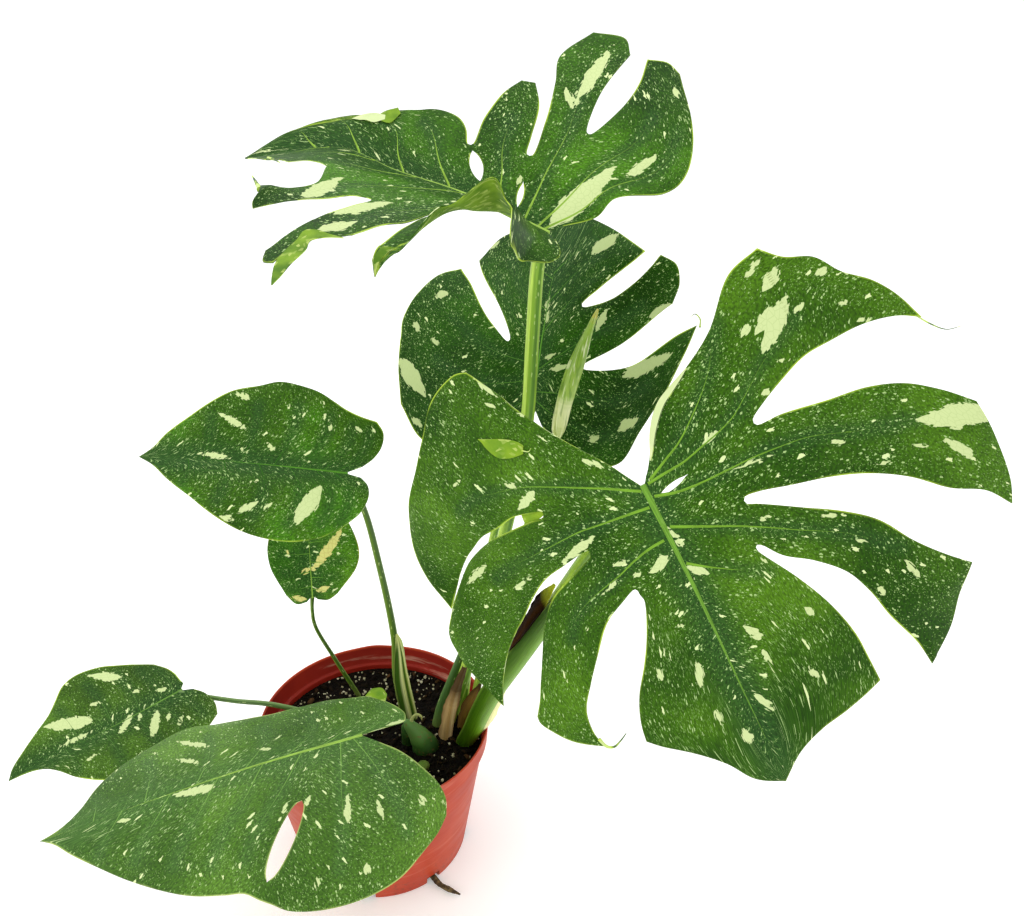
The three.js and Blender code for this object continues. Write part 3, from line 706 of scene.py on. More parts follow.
def leafTopMaterial(name, finish, veinTone=None):
    # A living leaf's upper skin: waxy and half glossy, deep green with yellower patches, flecked
    # with cream along the veins where cells have no green in them. A vein has its own tone near the
    # midrib and fades into the blade's.
    material, tree = startMaterial(name)
    flow = node(tree, "UVMap")
    place = node(tree, "TexCoord").outputs["Object"]
    keys = ("vein", "edge", "along", "rib", "cream")
    vein, edge, along, rib, cream = (node(tree, "Attribute", attribute_name=key).outputs["Fac"] for key in keys)

    # Broad tone: 60 mm clouds between the deep and the yellow green.
    cloud = node(tree, "TexNoise", {"Vector": place, "Scale": 17.0, "Detail": 4.0, "Roughness": 0.55})
    greens = [(0.36, finish["deep"]), (0.52, finish["green"]), (0.66, finish["sunny"])]
    tone = node(tree, "ValToRGB", {"Fac": cloud}, ramp=greens)
    # Blue green close to the midrib and the lateral veins.
    soft = {"interpolation_type": "SMOOTHSTEP"}
    nearRib = node(tree, "MapRange", [rib, 2.0, 20.0, 0.8, 0.0], **soft)
    nearVein = node(tree, "MapRange", [vein, 0.5, 8.0, 0.6, 0.0], **soft)
    nearBoth = node(tree, "Math", [nearRib, nearVein], operation="MAXIMUM")
    tone = node(tree, "Mix", {0: nearBoth, 6: tone, 7: finish["ribGreen"]})
    # Fine cells, about 1.4 mm, lighter and darker.
    cells = node(tree, "TexNoise", {"Vector": flow, "Scale": 0.7, "Detail": 3.0}, noise_dimensions="2D")
    shade = node(tree, "MapRange", [cells, 0.3, 0.7, 0.58, 1.4])
    tone = node(tree, "VectorMath", {0: tone, 3: shade}, operation="SCALE")

    # How thickly the flecks lie, in 26 mm clouds. Each layer is shifted, so that no two fall together.
    crowd = node(tree, "TexNoise", {"Vector": place, "Scale": 38.0, "Detail": 2.0})
    for i, (across, length, share, size, colour, strength) in enumerate(finish["flecks"]):
        cell = {"Location": (i * 7.3, i * 3.1, 0), "Scale": (1 / across, 1 / length, 1)}
        scaled = node(tree, "Mapping", {"Vector": flow, **cell})
        wobble = node(tree, "TexNoise", {"Vector": scaled, "Scale": 2.4, "Detail": 1.0}, noise_dimensions="2D")
        nudge = node(tree, "VectorMath", {0: wobble.outputs["Color"], 1: (0.5, 0.5, 0.5)}, operation="SUBTRACT")
        nudge = node(tree, "VectorMath", {0: nudge, 3: 0.6}, operation="SCALE")
        moved = node(tree, "VectorMath", [scaled, nudge], operation="ADD")
        spots = node(tree, "TexVoronoi", {"Vector": moved, "Scale": 1.0}, voronoi_dimensions="2D")
        luck = node(tree, "SeparateColor", [spots.outputs["Color"]])
        limit = node(tree, "MapRange", [crowd, 0.3, 0.72, share * 0.35, share * 1.8])
        chosen = node(tree, "Math", [luck, limit], operation="LESS_THAN")
        radius = node(tree, "MapRange", {"Value": luck.outputs[1], 3: size * 0.4, 4: size})
        inside = node(tree, "Math", [spots, radius], operation="LESS_THAN")
        both = node(tree, "Math", [chosen, inside], operation="MULTIPLY")
        mask = node(tree, "Math", [both, strength], operation="MULTIPLY")
        tone = node(tree, "Mix", {0: mask, 6: tone, 7: colour})

    # Cream patches: the field is broken up in blocks of about 1.4 x 3 mm, as vein nets bound them.
    blocks = node(tree, "Mapping", {"Vector": flow, "Scale": (0.7, 0.33, 1)})
    block = node(tree, "TexVoronoi", {"Vector": blocks, "Scale": 1.0}, voronoi_dimensions="2D")
    jitter = node(tree, "SeparateColor", [block.outputs["Color"]])
    jitter = node(tree, "Math", [jitter, 0.4], operation="SUBTRACT")
    ragged = node(tree, "Math", [jitter, 1.5, cream], operation="MULTIPLY_ADD")
    patch = node(tree, "MapRange", [ragged, -0.12, 0.12, 1.0, 0.0])
    # A vein net with meshes of 3 mm shows through the cream.
    edges = {"voronoi_dimensions": "2D", "feature": "DISTANCE_TO_EDGE"}
    net = node(tree, "TexVoronoi", {"Vector": flow, "Scale": 0.32}, **edges)
    lines = node(tree, "MapRange", [net, 0.02, 0.09, 0.45, 0.0])
    creamTone = node(tree, "Mix", {0: lines, 6: finish["cream"], 7: finish["creamNet"]})
    tone = node(tree, "Mix", {0: patch, 6: tone, 7: creamTone})

    # The thin bright margin: partly its own paler tone, partly painted light coming through the thin edge.
    rim = node(tree, "MapRange", [edge, 0.15, 1.0, finish["rimStrength"], 0.0])
    # Its brightness comes and goes over some 40 mm.
    stretch = node(tree, "TexNoise", {"Vector": place, "Scale": 24.0, "Detail": 2.0})
    stretch = node(tree, "MapRange", [stretch, 0.46, 0.62, 0.06, 1.0])
    rim = node(tree, "Math", [rim, stretch], operation="MULTIPLY")
    tone = node(tree, "Mix", {0: rim, 6: tone, 7: finish["rim"]})
    if veinTone:
        # Streaks along the vein, some 0.5 mm wide and 10 mm long: painted highlight streaks on the raised vein, with
        # darker streaks between.
        streaks = node(tree, "Mapping", {"Vector": flow, "Scale": (2.2, 0.1, 1)})
        grain = node(tree, "TexNoise", {"Vector": streaks, "Scale": 1.0, "Detail": 2.0}, noise_dimensions="2D")
        light = node(tree, "MapRange", [grain, 0.3, 0.7, 0.75, 1.3])
        streaked = node(tree, "VectorMath", {0: linear(veinTone)[:3], 3: light}, operation="SCALE")
        fade = node(tree, "MapRange", [along, 20.0, finish["veinReach"], 0.95, 0.0])
        tone = node(tree, "Mix", {0: fade, 6: tone, 7: streaked})
        # On the underside a vein is paler than the blade all along.
        below = node(tree, "Attribute", attribute_name="below").outputs["Fac"]
        tone = node(tree, "Mix", {0: below, 6: tone, 7: finish["underVein"]})

    gloss = node(tree, "MapRange", {"Value": cells, 3: finish["gloss"] - 0.05, 4: finish["gloss"] + 0.09})
    # Skin cells about 1.1 mm across, drawn larger than real so that they show.
    relief = node(tree, "TexVoronoi", {"Vector": flow, "Scale": 0.9}, voronoi_dimensions="2D")
    skin = {"Base Color": tone, "Roughness": gloss, "IOR": 1.45, "Specular IOR Level": finish["shine"]}
    return finishMaterial(material, skin, relief, 0.12, 0.0004)


def leafUnderMaterial(name, finish):
    # The underside: matt lime green, partly its own pale green and partly painted light shining through the blade,
    # with paler veins and faint flecks.
    material, tree = startMaterial(name)
    flow = node(tree, "UVMap")
    place = node(tree, "TexCoord").outputs["Object"]
    vein, cream = (node(tree, "Attribute", attribute_name=key).outputs["Fac"] for key in ("vein", "cream"))
    cloud = node(tree, "TexNoise", {"Vector": place, "Scale": 70.0, "Detail": 4.0})
    tone = node(tree, "ValToRGB", {"Fac": cloud}, ramp=[(0.4, finish["underDark"]), (0.65, finish["under"])])
    scaled = node(tree, "Mapping", {"Vector": flow, "Scale": (0.7, 0.35, 1)})
    spots = node(tree, "TexVoronoi", {"Vector": scaled, "Scale": 1.0}, voronoi_dimensions="2D")
    luck = node(tree, "SeparateColor", [spots.outputs["Color"]])
    mask = node(tree, "MapRange", [luck, 0.0, 0.22, 0.7, 0.0])
    tone = node(tree, "Mix", {0: mask, 6: tone, 7: "#b4c468"})
    patch = node(tree, "MapRange", [cream, -0.3, 0.3, 0.9, 0.0])
    tone = node(tree, "Mix", {0: patch, 6: tone, 7: finish["cream"]})
    line = node(tree, "MapRange", [vein, 0.4, 1.2, 0.7, 0.0])
    tone = node(tree, "Mix", {0: line, 6: tone, 7: "#b4cc5e"})
    skin = {"Base Color": tone, "Roughness": 0.6, "Specular IOR Level": 0.15}
    return finishMaterial(material, skin, spots, 0.15, 0.0003)


def leafMarginMaterial(name, green, rim, cream):
    # The thin cut rim of the leaf, in stretches some 12 mm long, its bright tones partly painted light coming through
    # the edge.
    material, tree = startMaterial(name)
    flow = node(tree, "UVMap")
    patches = node(tree, "TexNoise", {"Vector": flow, "Scale": 0.08, "Detail": 2.0}, noise_dimensions="2D")
    tone = node(tree, "ValToRGB", {"Fac": patches}, ramp=[(0.44, green), (0.54, rim), (0.7, cream)])
    return finishMaterial(material, {"Base Color": tone, "Roughness": 0.5})


usualFinish = {
    "deep": "#204402",
    "green": "#345a07",
    "sunny": "#4c7812",
    "ribGreen": "#26481c",
    "cream": "#bfce90",
    "creamNet": "#a4b878",
    "vein": "#6d982a",
    "midrib": "#669230",
    "rim": "#b4d044",
    "rimStrength": 0.85,
    # The underside's lime is partly painted light shining through the blade.
    "under": "#7f9f20",
    "underDark": "#5b831a",
    "underVein": "#a3bd58",
    "veinReach": 90.0,  # mm along a vein until it has the blade's green
    "gloss": 0.4,
    "shine": 0.1,
    # Each layer: cell across and along in mm, share of the cells, half size in cells, colour, strength.
    "flecks": [
        (0.7, 1.2, 0.26, 0.36, "#7fa456", 0.75),
        (1.3, 2.4, 0.1, 0.4, "#a3bf7a", 0.85),
        (2.6, 5.5, 0.03, 0.42, "#ccda9c", 1.0),
    ],
}


def leafFinish(**changes):
    # The usual finish of a blade, with these changes.
    return {**usualFinish, **changes}


# What most blades share, in mm and shares of a length; each leaf lists only what differs.
usualLeaf = {
    "step": 1.9,  # size of the mesh's cells
    "thickness": 0.5,
    "quilt": 0.8,  # height of the swelling between the veins
    "swell": 1.0,  # height of the broad waves, 60 mm long
    "wave": 0.5,  # height of the waves near the margin, 26 mm long
    "marginDip": 0.3,
    "notch": 1.5,  # roundness of the notches between the lobes
    "smoothing": 60,  # times that the inner points are averaged
    "ribWidth": 2.2,
    "ribShare": 0.96,  # share of the midrib that has a bar
    "ribValley": 0.5,
    "veinWidth": 0.8,
    "veinShare": 0.8,  # share of the way to the margin that a lateral vein reaches
}

bigRightLeaf = {
    **usualLeaf,
    "name": "leafBigRight", "node": "leaf_blade_big_right", "roll": -60,
    "rib": [[165, -115, 375], [192, -140, 328], [216, -158, 282], [241, -173, 233]],
    "step": 2.1, "quilt": 0.9, "swell": 1.6, "notch": 1.7, "smoothing": 70, "veinShare": 0.75, "ribValley": 0.7,
    "wave": 0.7, "marginDip": 0.5, "ribWidth": 4.6, "veinWidth": 2.1,
    "finish": leafFinish(veinReach=150.0, sunny="#476f10"),
    "shape": [[0, -6, 14]],
    "right": [
        {"root": [0, 5], "veins": [1.6, 3.6],
         "lines": [[[2, 1], [19, -8], [34, -15], [50, -22], [64, -27], [81, -30], [96, -32], [110, -29]]],
         "lead": [[9, -15], [17, -26], [26, -38], [35, -51], [44, -65], [50, -77], [61, -94]],
         "end": [
             [68, -96], [77, -95], [89, -91], [99, -85], [111, -74], [127, -61], [147, -45], [161, -22], [163, 2],
         ],
         "trail": [[57, -9], [64, -12], [76, -14], [89, -12], [103, -11], [114, -7], [123, -3], [158, 20]]},
        {"root": [5, 21], "veins": [13],
         "lines": [[[2, 10], [13, 9], [28, 8], [44, 7], [61, 8], [78, 9], [96, 10], [109, 13]]],
         "lead": [[57, -9], [67, -8], [81, -8], [95, -7.5], [105, -6], [121, -1], [139, 9]],
         "end": [[157, 20], [171, 35], [166, 53], [155, 71]],
         "trail": [
             [43, 19], [50, 18], [61, 20], [76, 23], [88, 29], [102, 39], [115, 49], [124, 60], [133, 76],
             [139, 92],
         ]},
        {"root": [21, 36], "veins": [29],
         "lines": [[[3, 28], [12, 29], [23, 32], [34, 36], [48, 40], [59, 44], [69, 50], [77, 61]]],
         "lead": [
             [43, 19], [52, 24], [60, 27], [68, 30], [75, 33], [82, 38], [92, 51], [98, 64], [106, 81], [111, 92],
             [117, 101],
         ],
         "end": [[117, 105], [110, 112], [100, 119]],
         "trail": [[28, 47], [39, 50], [52, 58], [65, 74], [76, 89], [85, 104], [86, 117], [82, 125]]},
        {"root": [36, 171], "veins": [50, 68, 88, 110, 133], "lines": [],
         "lead": [[28, 47], [27, 52], [33, 69], [42, 86], [52, 102], [57, 115], [59, 127]],
         "end": [[52, 132], [37, 140], [24, 151], [14, 164]]},
    ],
    "left": [
        {"root": [0, 8], "veins": [2.2],
         "lines": [
             [[-5, -2.5], [-14, -7], [-26, -13], [-39, -23], [-48, -31], [-55, -39], [-61, -48], [-68, -58]],
             [[-3, -1], [-12, -2], [-23, -3], [-35, -6], [-46, -9], [-54, -12], [-63, -18], [-80, -30], [-102, -41]],
         ],
         "lead": [[-9, -11], [-16, -25], [-25, -35], [-45, -44], [-63, -55], [-83, -75], [-101, -80]],
         "end": [[-110, -71], [-124, -64], [-133, -52], [-145, -41], [-153, -29]],
         "trail": [
             [-62, -5], [-71, -12], [-84, -18], [-98, -23], [-113, -24], [-131, -24], [-148, -20], [-159, -14],
         ]},
        {"root": [8, 21], "leadSlot": {"from": 0.09, "to": 0.34, "half": 1.5}, "veins": [12],
         "lines": [
             [[-3, 6], [-14, 9], [-27, 10], [-41, 10], [-53, 10], [-67, 11], [-82, 13], [-107, 22], [-132, 29]],
         ],
         "lead": [[-62, -5], [-76, -3], [-99, 1], [-118, 4], [-136, 11], [-151, 22], [-165, 35]],
         "end": [[-169, 62], [-169, 79]],
         "trail": [
             [-41, 27], [-49, 26], [-64, 30], [-83, 35], [-101, 42], [-118, 52], [-135, 66], [-154, 77], [-166, 91],
         ]},
        {"root": [21, 36], "veins": [27],
         "lines": [[[-3, 23], [-16, 29], [-33, 37], [-46, 44], [-58, 51], [-69, 57], [-79, 63], [-101, 81]]],
         "lead": [[-41, 27], [-46, 31], [-66, 43], [-81, 52], [-96, 64], [-108, 81], [-122, 97], [-134, 109]],
         "end": [[-123, 122], [-112, 139]],
         "trail": [[-36, 50], [-46, 59], [-59, 68], [-71, 80], [-78, 95], [-83, 113], [-92, 136], [-95, 151]]},
        {"root": [36, 171], "veins": [44, 60, 79, 100, 122, 143],
         "lines": [[[-2, 43], [-11, 49], [-21, 55], [-36, 63]]],
         "lead": [[-36, 50], [-48, 72], [-57, 91], [-63, 111], [-65, 130], [-66, 144]],
         "end": [[-45, 150], [-28, 153], [-12, 160]]},
    ],
    "flaps": [
        {"line": [[73, -60], [66, -57], [61, -55], [52, -50], [49, -46]],
         "inner": [[72, -58], [70, -52], [66, -46], [59, -43], [51, -42]], "lift": 0.6, "rise": 0.05},
        {"line": [[-9, -11], [-16, -25], [-25, -35], [-35, -40], [-45, -44]], "width": 3.6, "turn": 1, "rise": 0.1,
         "top": 5},
        {"line": [[71, -14], [64, -13], [57, -10.5]], "inner": [[72, -6.5], [65, -6.8], [57, -8.5]], "lift": -0.9,
         "rise": 0.0},
    ],
    "tendrils": [
        {"radius": 0.5, "points": [[-156, -18, 0], [-162, -9, 0.3], [-168, -3, 0.8], [-176, -1, 1.5]]},
        {"radius": 1.0, "points": [[85, 120, 0], [82, 125, 0.1], [78, 126, 0.2], [73, 123.5, 0.4], [68, 120, 0.6]]},
        {"radius": 0.4, "points": [[51, -44, 2], [47, -42, 3], [44, -43, 4]]},
    ],
    "patches": [
        (54, -82, 16, 4, -63), (42, -61, 8, 2, -37), (57, -73, 9, 2.5, -42), (19, -23, 14, 2.4, -48),
        (69, -30, 10, 3.4, -29), (64, -19, 16, 5, 20), (49, 15, 26, 4.5, 13), (30, 30, 10, 3, -3),
        (42, 40, 14, 2, 21), (11, 38, 17, 5, 20), (-3, 29, 16, 2.6, -76), (-5, 48, 13, 4, -38), (121, 7, 24, 4, 14),
        (92, 20, 18, 2, 10), (49, 56, 8, 2, 35), (36, 93, 9, 3.4, 85), (17, 100, 16, 4.2, 74),
        (15, 72, 6, 2.8, -45), (-17, 88, 14, 4.2, -58), (-7, 124, 17, 4.4, -67), (8, 139, 10, 4.4, -87),
        (17, 125, 10, 3.2, 87), (-18, 102, 9, 2.5, -79), (101, -44, 8, 2, 10), (25, 39, 6, 2.4, 17),
        (-92, -43, 33, 8.4, 40), (-89, -47, 18, 6, 28), (-100, -64, 15, 6, 32), (-94, -72, 14, 3, 31),
        (-78, -47, 9, 3.2, 35), (-124, -56, 8, 3, 7), (-106, -45, 8, 2.8, 18), (-126, -38, 8, 2.2, -22),
        (-88, -26, 8, 2.2, -18), (-74, -16, 6, 2.6, 10), (-131, -26, 8, 1.6, -21), (-135, -51, 7, 2, -56),
        (-152, 37, 44, 10, -21), (-147, 51, 22, 4.8, -50), (-93, 21, 10, 1.8, -24), (-52, 12, 20, 2, -7),
        (-129, 41, 8, 1.8, -31), (-108, 40, 9, 1.6, -26), (-84, 70, 8, 1.8, -41), (-102, 94, 14, 2.8, -72),
        (-83, 97, 8, 3, -76), (-46, 39, 7, 1.8, -10), (-74, 51, 9, 1.6, -22), (-40, -8, 11, 2.2, 13),
        (-46, 90, 7, 2.8, -70), (-36, 122, 9, 4, -57), (-19, 112, 7, 2, -71), (-36, 57, 6, 1.8, -40),
    ],
}

topLeaf = {
    **usualLeaf,
    "name": "leafTop", "node": "leaf_blade_top", "roll": 0,
    "rib": [[119, 10, 469], [72, 28, 486], [32, 45, 495], [-1, 58, 505], [-61, 68, 497]],
    "swell": 1.2, "veinShare": 0.7, "ribShare": 0.94, "ribValley": 0.6, "wave": 0.9, "marginDip": 0.4,
    "ribWidth": 3.6, "veinWidth": 1.9,
    "finish": leafFinish(
        veinReach=130.0, vein="#84a83a", midrib="#93b44e", deep="#1b3e01", green="#2a5204", sunny="#40700c",
        under="#769822", underDark="#4a7012",
    ),
    "shape": [[0, 42, 8]],
    "leftShape": [
        [-18, -11, 17, 45, -4.5], [-4, -1, 15, 45, -5.5], [8, 19, -23, 45, -4.5], [20, 14, -50, 45, -1.5],
        [34, 4, -31, 45, -3], [44, 5, -1, 45, -5], [56, 2, 7, 45, 0],
    ],
    "right": [
        {"root": [0, 10], "veins": [2.5, 6],
         "lead": [[6, -6], [21, -21], [36, -25], [52, -48], [66, -54], [94, -48], [138, -20]], "end": [[143, -10]],
         "trail": [[68, 8], [94, -1], [117, -2], [138, 2]]},
        {"root": [10, 20], "veins": [14.5], "lead": [[68, 8], [97, 15], [136, 13]], "end": [[147, 22]],
         "trail": [[38, 31], [65, 34], [92, 41], [112, 47], [140, 39]]},
        {"root": [20, 40], "veins": [30], "leadSlot": {"from": 0.16, "to": 0.54, "half": 1.7},
         "lead": [[38, 31], [51, 36], [71, 41], [86, 50]], "end": [],
         "trail": [[30, 63], [50, 64], [71, 62], [84, 57]]},
        {"root": [40, 196], "veins": [62, 92, 122, 150], "leadSlot": {"from": 0.36, "to": 0.9, "half": 3.6},
         "lead": [[30, 63], [39, 70], [45, 77], [47, 87], [45, 100], [39, 113]],
         "end": [[33, 121], [26, 126], [21, 134], [18, 146], [16, 159], [13, 171], [8, 181]]},
    ],
    "left": [
        {"root": [0, 20], "veins": [5, 12], "lines": [],
         "lead": [
             [-5, -6], [-9, -11], [-15, -15], [-21, -15], [-30, -12], [-38, -8], [-43, -5], [-52, 0], [-61, 2],
             [-68, 5], [-70, 14], [-73, 22], [-79, 28], [-85, 36], [-88, 41], [-95, 45], [-104, 47], [-112, 47],
         ],
         "end": [[-119, 45]], "trail": [[-58, 46], [-66, 49], [-78, 51], [-92, 52], [-104, 52], [-112, 50]]},
        {"root": [20, 40], "veins": [30],
         "lead": [
             [-58, 46], [-63, 50], [-78, 59], [-95, 65], [-104, 68], [-110, 75], [-117, 81], [-127, 82], [-137, 80],
             [-147, 79],
         ],
         "end": [[-149, 83]], "trail": [[-56, 81], [-85, 87], [-112, 90], [-140, 89]]},
        {"root": [40, 66], "veins": [53], "lead": [[-56, 81], [-59, 92], [-75, 101], [-90, 107], [-113, 115]],
         "end": [[-107, 126]], "trail": [[-38, 122], [-58, 113], [-73, 115], [-83, 119], [-89, 130], [-92, 147]]},
        {"root": [66, 196], "veins": [84, 112, 142], "lead": [[-38, 122], [-36, 136], [-40, 152]],
         "end": [[-28, 166], [-16, 179]]},
    ],
    "flaps": [
        {"line": [[-108, 66], [-113, 72], [-120, 76], [-129, 73], [-144, 71], [-155, 69], [-164, 68]],
         "inner": [[-109, 79], [-113, 84], [-125, 82], [-137, 80], [-148, 77], [-158, 72], [-164, 68.5]],
         "lift": 0.9, "rise": 0.0},
        {"line": [[-98, 46], [-104, 47], [-112, 47], [-119, 45]],
         "inner": [[-100, 50.5], [-105, 50.5], [-112, 49.3], [-119, 45.2]], "lift": 0.6, "rise": 0.0},
        {"line": [[20, 134], [24, 130], [28, 125], [29, 121]], "inner": [[20, 130], [21, 127], [21, 124], [26, 120]],
         "lift": 0.9, "rise": 0.0, "top": 5},
        {"line": [[27, 124], [32, 122], [37, 118]], "inner": [[24, 122], [25, 117], [34, 115]], "lift": 0.8,
         "rise": 0.0},
    ],
    "tendrils": [
        {"radius": 1.5, "points": [[-96, 142, 0], [-88, 150, 0.2], [-80, 156, 0.5], [-69, 163, 0.8]]},
        {"radius": 0.9, "points": [[-17, 174, 0], [-31, 164, 0.2], [-43, 156, 0.3]]},
    ],
    "patches": [
        (-4, 129, 11, 3, -50), (-62, 107, 46, 8, 2), (-70, 79, 42, 9, -24), (-97, 76, 24, 8, -20),
        (110, 25, 54, 7, 0), (86, 30, 18, 4, 38), (29, -8, 60, 12, -17), (65, -30, 32, 5.5, -23),
        (122, -24, 10, 4, 40), (21, 29, 9, 4, 0),
    ],
}

backLeaf = {
    **usualLeaf,
    "name": "leafBack", "node": "leaf_blade_back", "roll": 6,
    "rib": [[113, 45, 344], [120, 78, 381], [129, 115, 413], [146, 150, 440]],
    "step": 2.0, "swell": 1.2, "veinShare": 0.7, "ribShare": 0.94, "ribValley": 0.6, "wave": 0.7, "marginDip": 0.4,
    "ribWidth": 2.8, "veinWidth": 1.1,
    # This leaf's darker tones, greens, veins and cream alike, are painted shade: it stands behind and under the big
    # right and top leaves.
    "finish": leafFinish(
        deep="#163801", green="#1f4604", sunny="#2a5508", vein="#4a7a26", midrib="#568a2e", cream="#b2c186",
    ),
    "shape": [[0, 0, 11]],
    "right": [
        {"root": [0, 14], "veins": [4, 9], "lead": [[8, -14], [25, -30], [45, -38], [61, -34], [72, -11], [86, 18]],
         "end": [[95, 45]], "trail": [[30, 27], [60, 30], [87, 54], [100, 63]]},
        {"root": [14, 34], "veins": [24], "lead": [[30, 27], [53, 45], [83, 78]], "end": [[86, 97], [82, 115]],
         "trail": [[24, 70], [44, 78], [65, 107], [70, 121]]},
        {"root": [34, 147], "veins": [50, 72, 96], "lead": [[24, 70], [34, 86], [54, 113], [59, 122]],
         "end": [[43, 131], [14, 144]]},
    ],
    "left": [
        {"root": [0, 34], "veins": [7, 17, 27], "lead": [[-8, -14], [-25, -30], [-50, -37], [-76, -27], [-96, -3]],
         "end": [[-104, 32], [-106, 66], [-92, 93]], "trail": [[-22, 44], [-39, 59], [-59, 87], [-73, 99]]},
        {"root": [34, 147], "veins": [48, 68, 92], "lead": [[-22, 44], [-35, 72], [-62, 105]],
         "end": [[-53, 126], [-23, 137]]},
    ],
    "tendrils": [
        {"radius": 0.7, "points": [[102, 62, 0], [101.5, 68, 0.3], [98, 71, 0.8], [95, 68, 1.2]]},
    ],
    "patches": [
        (-90, 16, 40, 10, -47), (-79, 80, 12, 5.5, 1), (-94, 55, 14, 4, -60), (-77, 42, 11, 3.4, -39),
        (30, 125, 25, 9.5, 55), (38, 61, 18, 4.6, 72), (77, 72, 22, 7.4, 40), (71, 32, 38, 9, 33),
        (7, 34, 11, 3.4, 31), (15, 26, 15, 4, 18), (64, -8, 17, 6.6, 40), (43, -20, 10, 4.4, 49),
        (-80, -16, 14, 4, -37), (1, 63, 12, 2.6, 82), (-56, 118, 9, 4, 58), (0, 72, 12, 3, 85),
    ],
}

heartLeaf = {
    **usualLeaf,
    "name": "leafHeart", "node": "leaf_blade_heart", "roll": 40,
    "rib": [[-3, -10, 324], [-48, -9, 329], [-93, -5, 331], [-132, 0, 330]],
    "thickness": 0.45,
    "finish": leafFinish(vein="#2f6214", midrib="#4a7f22", sunny="#3f7410", veinReach=60.0),
    "shape": [[0, 5, 11]],
    "right": [
        {"root": [0, 130], "veins": [6, 14, 27, 44, 64, 88],
         "lead": [[5, -10], [11, -16], [19, -20], [28, -20], [35, -15]],
         "end": [
             [37, -6], [41, 5], [46, 14], [51, 24], [54, 37], [55, 50], [51, 62], [46, 78], [37, 91], [27, 102],
             [16, 114], [6, 122],
         ]},
    ],
    "left": [
        {"root": [0, 130], "veins": [8, 18, 34, 53, 75, 98],
         "lead": [[-2, -10], [-7, -15], [-14, -16.5], [-25, -13], [-36, -3]],
         "end": [[-44, 10], [-48, 27], [-47, 43], [-43, 58], [-35, 75], [-25, 91], [-15, 107], [-5, 120]]},
    ],
    "patches": [
        (26, 74, 21, 4, 65), (3, 80, 26, 3.4, 88), (8, 64, 9, 1.8, 61), (43, 71, 12, 3.6, 74),
        (-22, 18, 32, 8.6, -23), (-29, 54, 16, 4.2, -53), (12, 48, 10, 2.6, 45), (29, 13, 10, 2.6, 27),
        (29, -4, 6, 3, 57), (-12, 53, 8, 2, -57), (-37, 65, 11, 2.8, 84), (-27, 42, 7, 2.2, -40), (5, 25, 9, 2, 74),
    ],
}

smallLeaf = {
    **usualLeaf,
    "name": "leafSmall", "node": "leaf_blade_small", "roll": 0,
    "rib": [[-42, 30, 201], [-45, 48, 222], [-47, 64, 245], [-48, 76, 268]],
    "step": 1.8, "thickness": 0.45, "quilt": 0.9, "swell": 1.6, "notch": 1.7, "smoothing": 70, "veinShare": 0.75,
    "ribValley": 0.4, "wave": 0.3, "ribWidth": 1.6, "veinWidth": 0.7,
    "finish": leafFinish(
        deep="#2a5510", green="#3a6a14", sunny="#5a8a1e", cream="#cfcc7c", creamNet="#a88f38", rim="#a8a840",
        vein="#5c8a2c", midrib="#7a9e3a", veinReach=40.0,
    ),
    "shape": [[0, 5, 10]],
    "right": [
        {"root": [0, 82], "veins": [5, 13, 24, 38, 55], "lead": [[4, -3], [11, -4], [18, 0]],
         "end": [[33, 18], [35, 33], [20, 66]]},
    ],
    "left": [
        {"root": [0, 82], "veins": [7, 17, 30, 46, 62], "lead": [[-4, -4], [-11, -5], [-18, 2]],
         "end": [[-28, 24], [-28, 42], [-8, 76]]},
    ],
    "patches": [
        (14, 33, 40, 7, 52), (-3, 18, 9, 3.4, 26), (8, 4, 13, 4, 14), (-9, -1, 13, 3.4, -12), (-14, 34, 8, 2, 60),
    ],
}

lowLeftLeaf = {
    **usualLeaf,
    "name": "leafLowLeft", "node": "leaf_blade_low_left", "roll": 20,
    "rib": [[-143, 15, 127], [-176, -6, 119], [-210, -27, 112], [-246, -49, 103]],
    "thickness": 0.45, "ribWidth": 2.0,
    "finish": leafFinish(
        deep="#2a4608", green="#385812", sunny="#4a6e1e", vein="#4c7430", midrib="#5c8434", veinReach=60.0,
    ),
    "shape": [[0, 2, 11]],
    "right": [
        {"root": [0, 124], "veins": [6, 15, 30, 50, 74], "lead": [[4, -4], [8, -3], [14, -2], [21, 1], [30, 8]],
         "end": [[41, 25], [50, 43], [53, 60], [49, 71], [40, 79], [31, 87], [23, 98], [15, 109], [7, 119]]},
    ],
    "left": [
        {"root": [0, 124], "veins": [8, 20, 37, 58, 84], "lead": [[-4, -8], [-12, -14], [-23, -17], [-32, -15]],
         "end": [[-38, -4], [-45, 20], [-44, 46], [-38, 63], [-31, 75], [-23, 84], [-12, 93], [-5, 101], [-1, 110]]},
    ],
    "patches": [
        (18, 76, 38, 8.4, 67), (4, 74, 24, 3.4, 88), (41, 43, 29, 6.8, 56), (-2, 41, 20, 5, -51),
        (-13, 24, 25, 5.2, -32), (-2, 31, 11, 2.6, -38), (-21, 8, 11, 2.6, -41), (-15, 15, 10, 2.4, -38),
        (23, 56, 10, 2.8, 75), (17, 28, 14, 3, 68), (8, 12, 13, 2.4, 70), (-15, 70, 9, 2, -80),
    ],
}

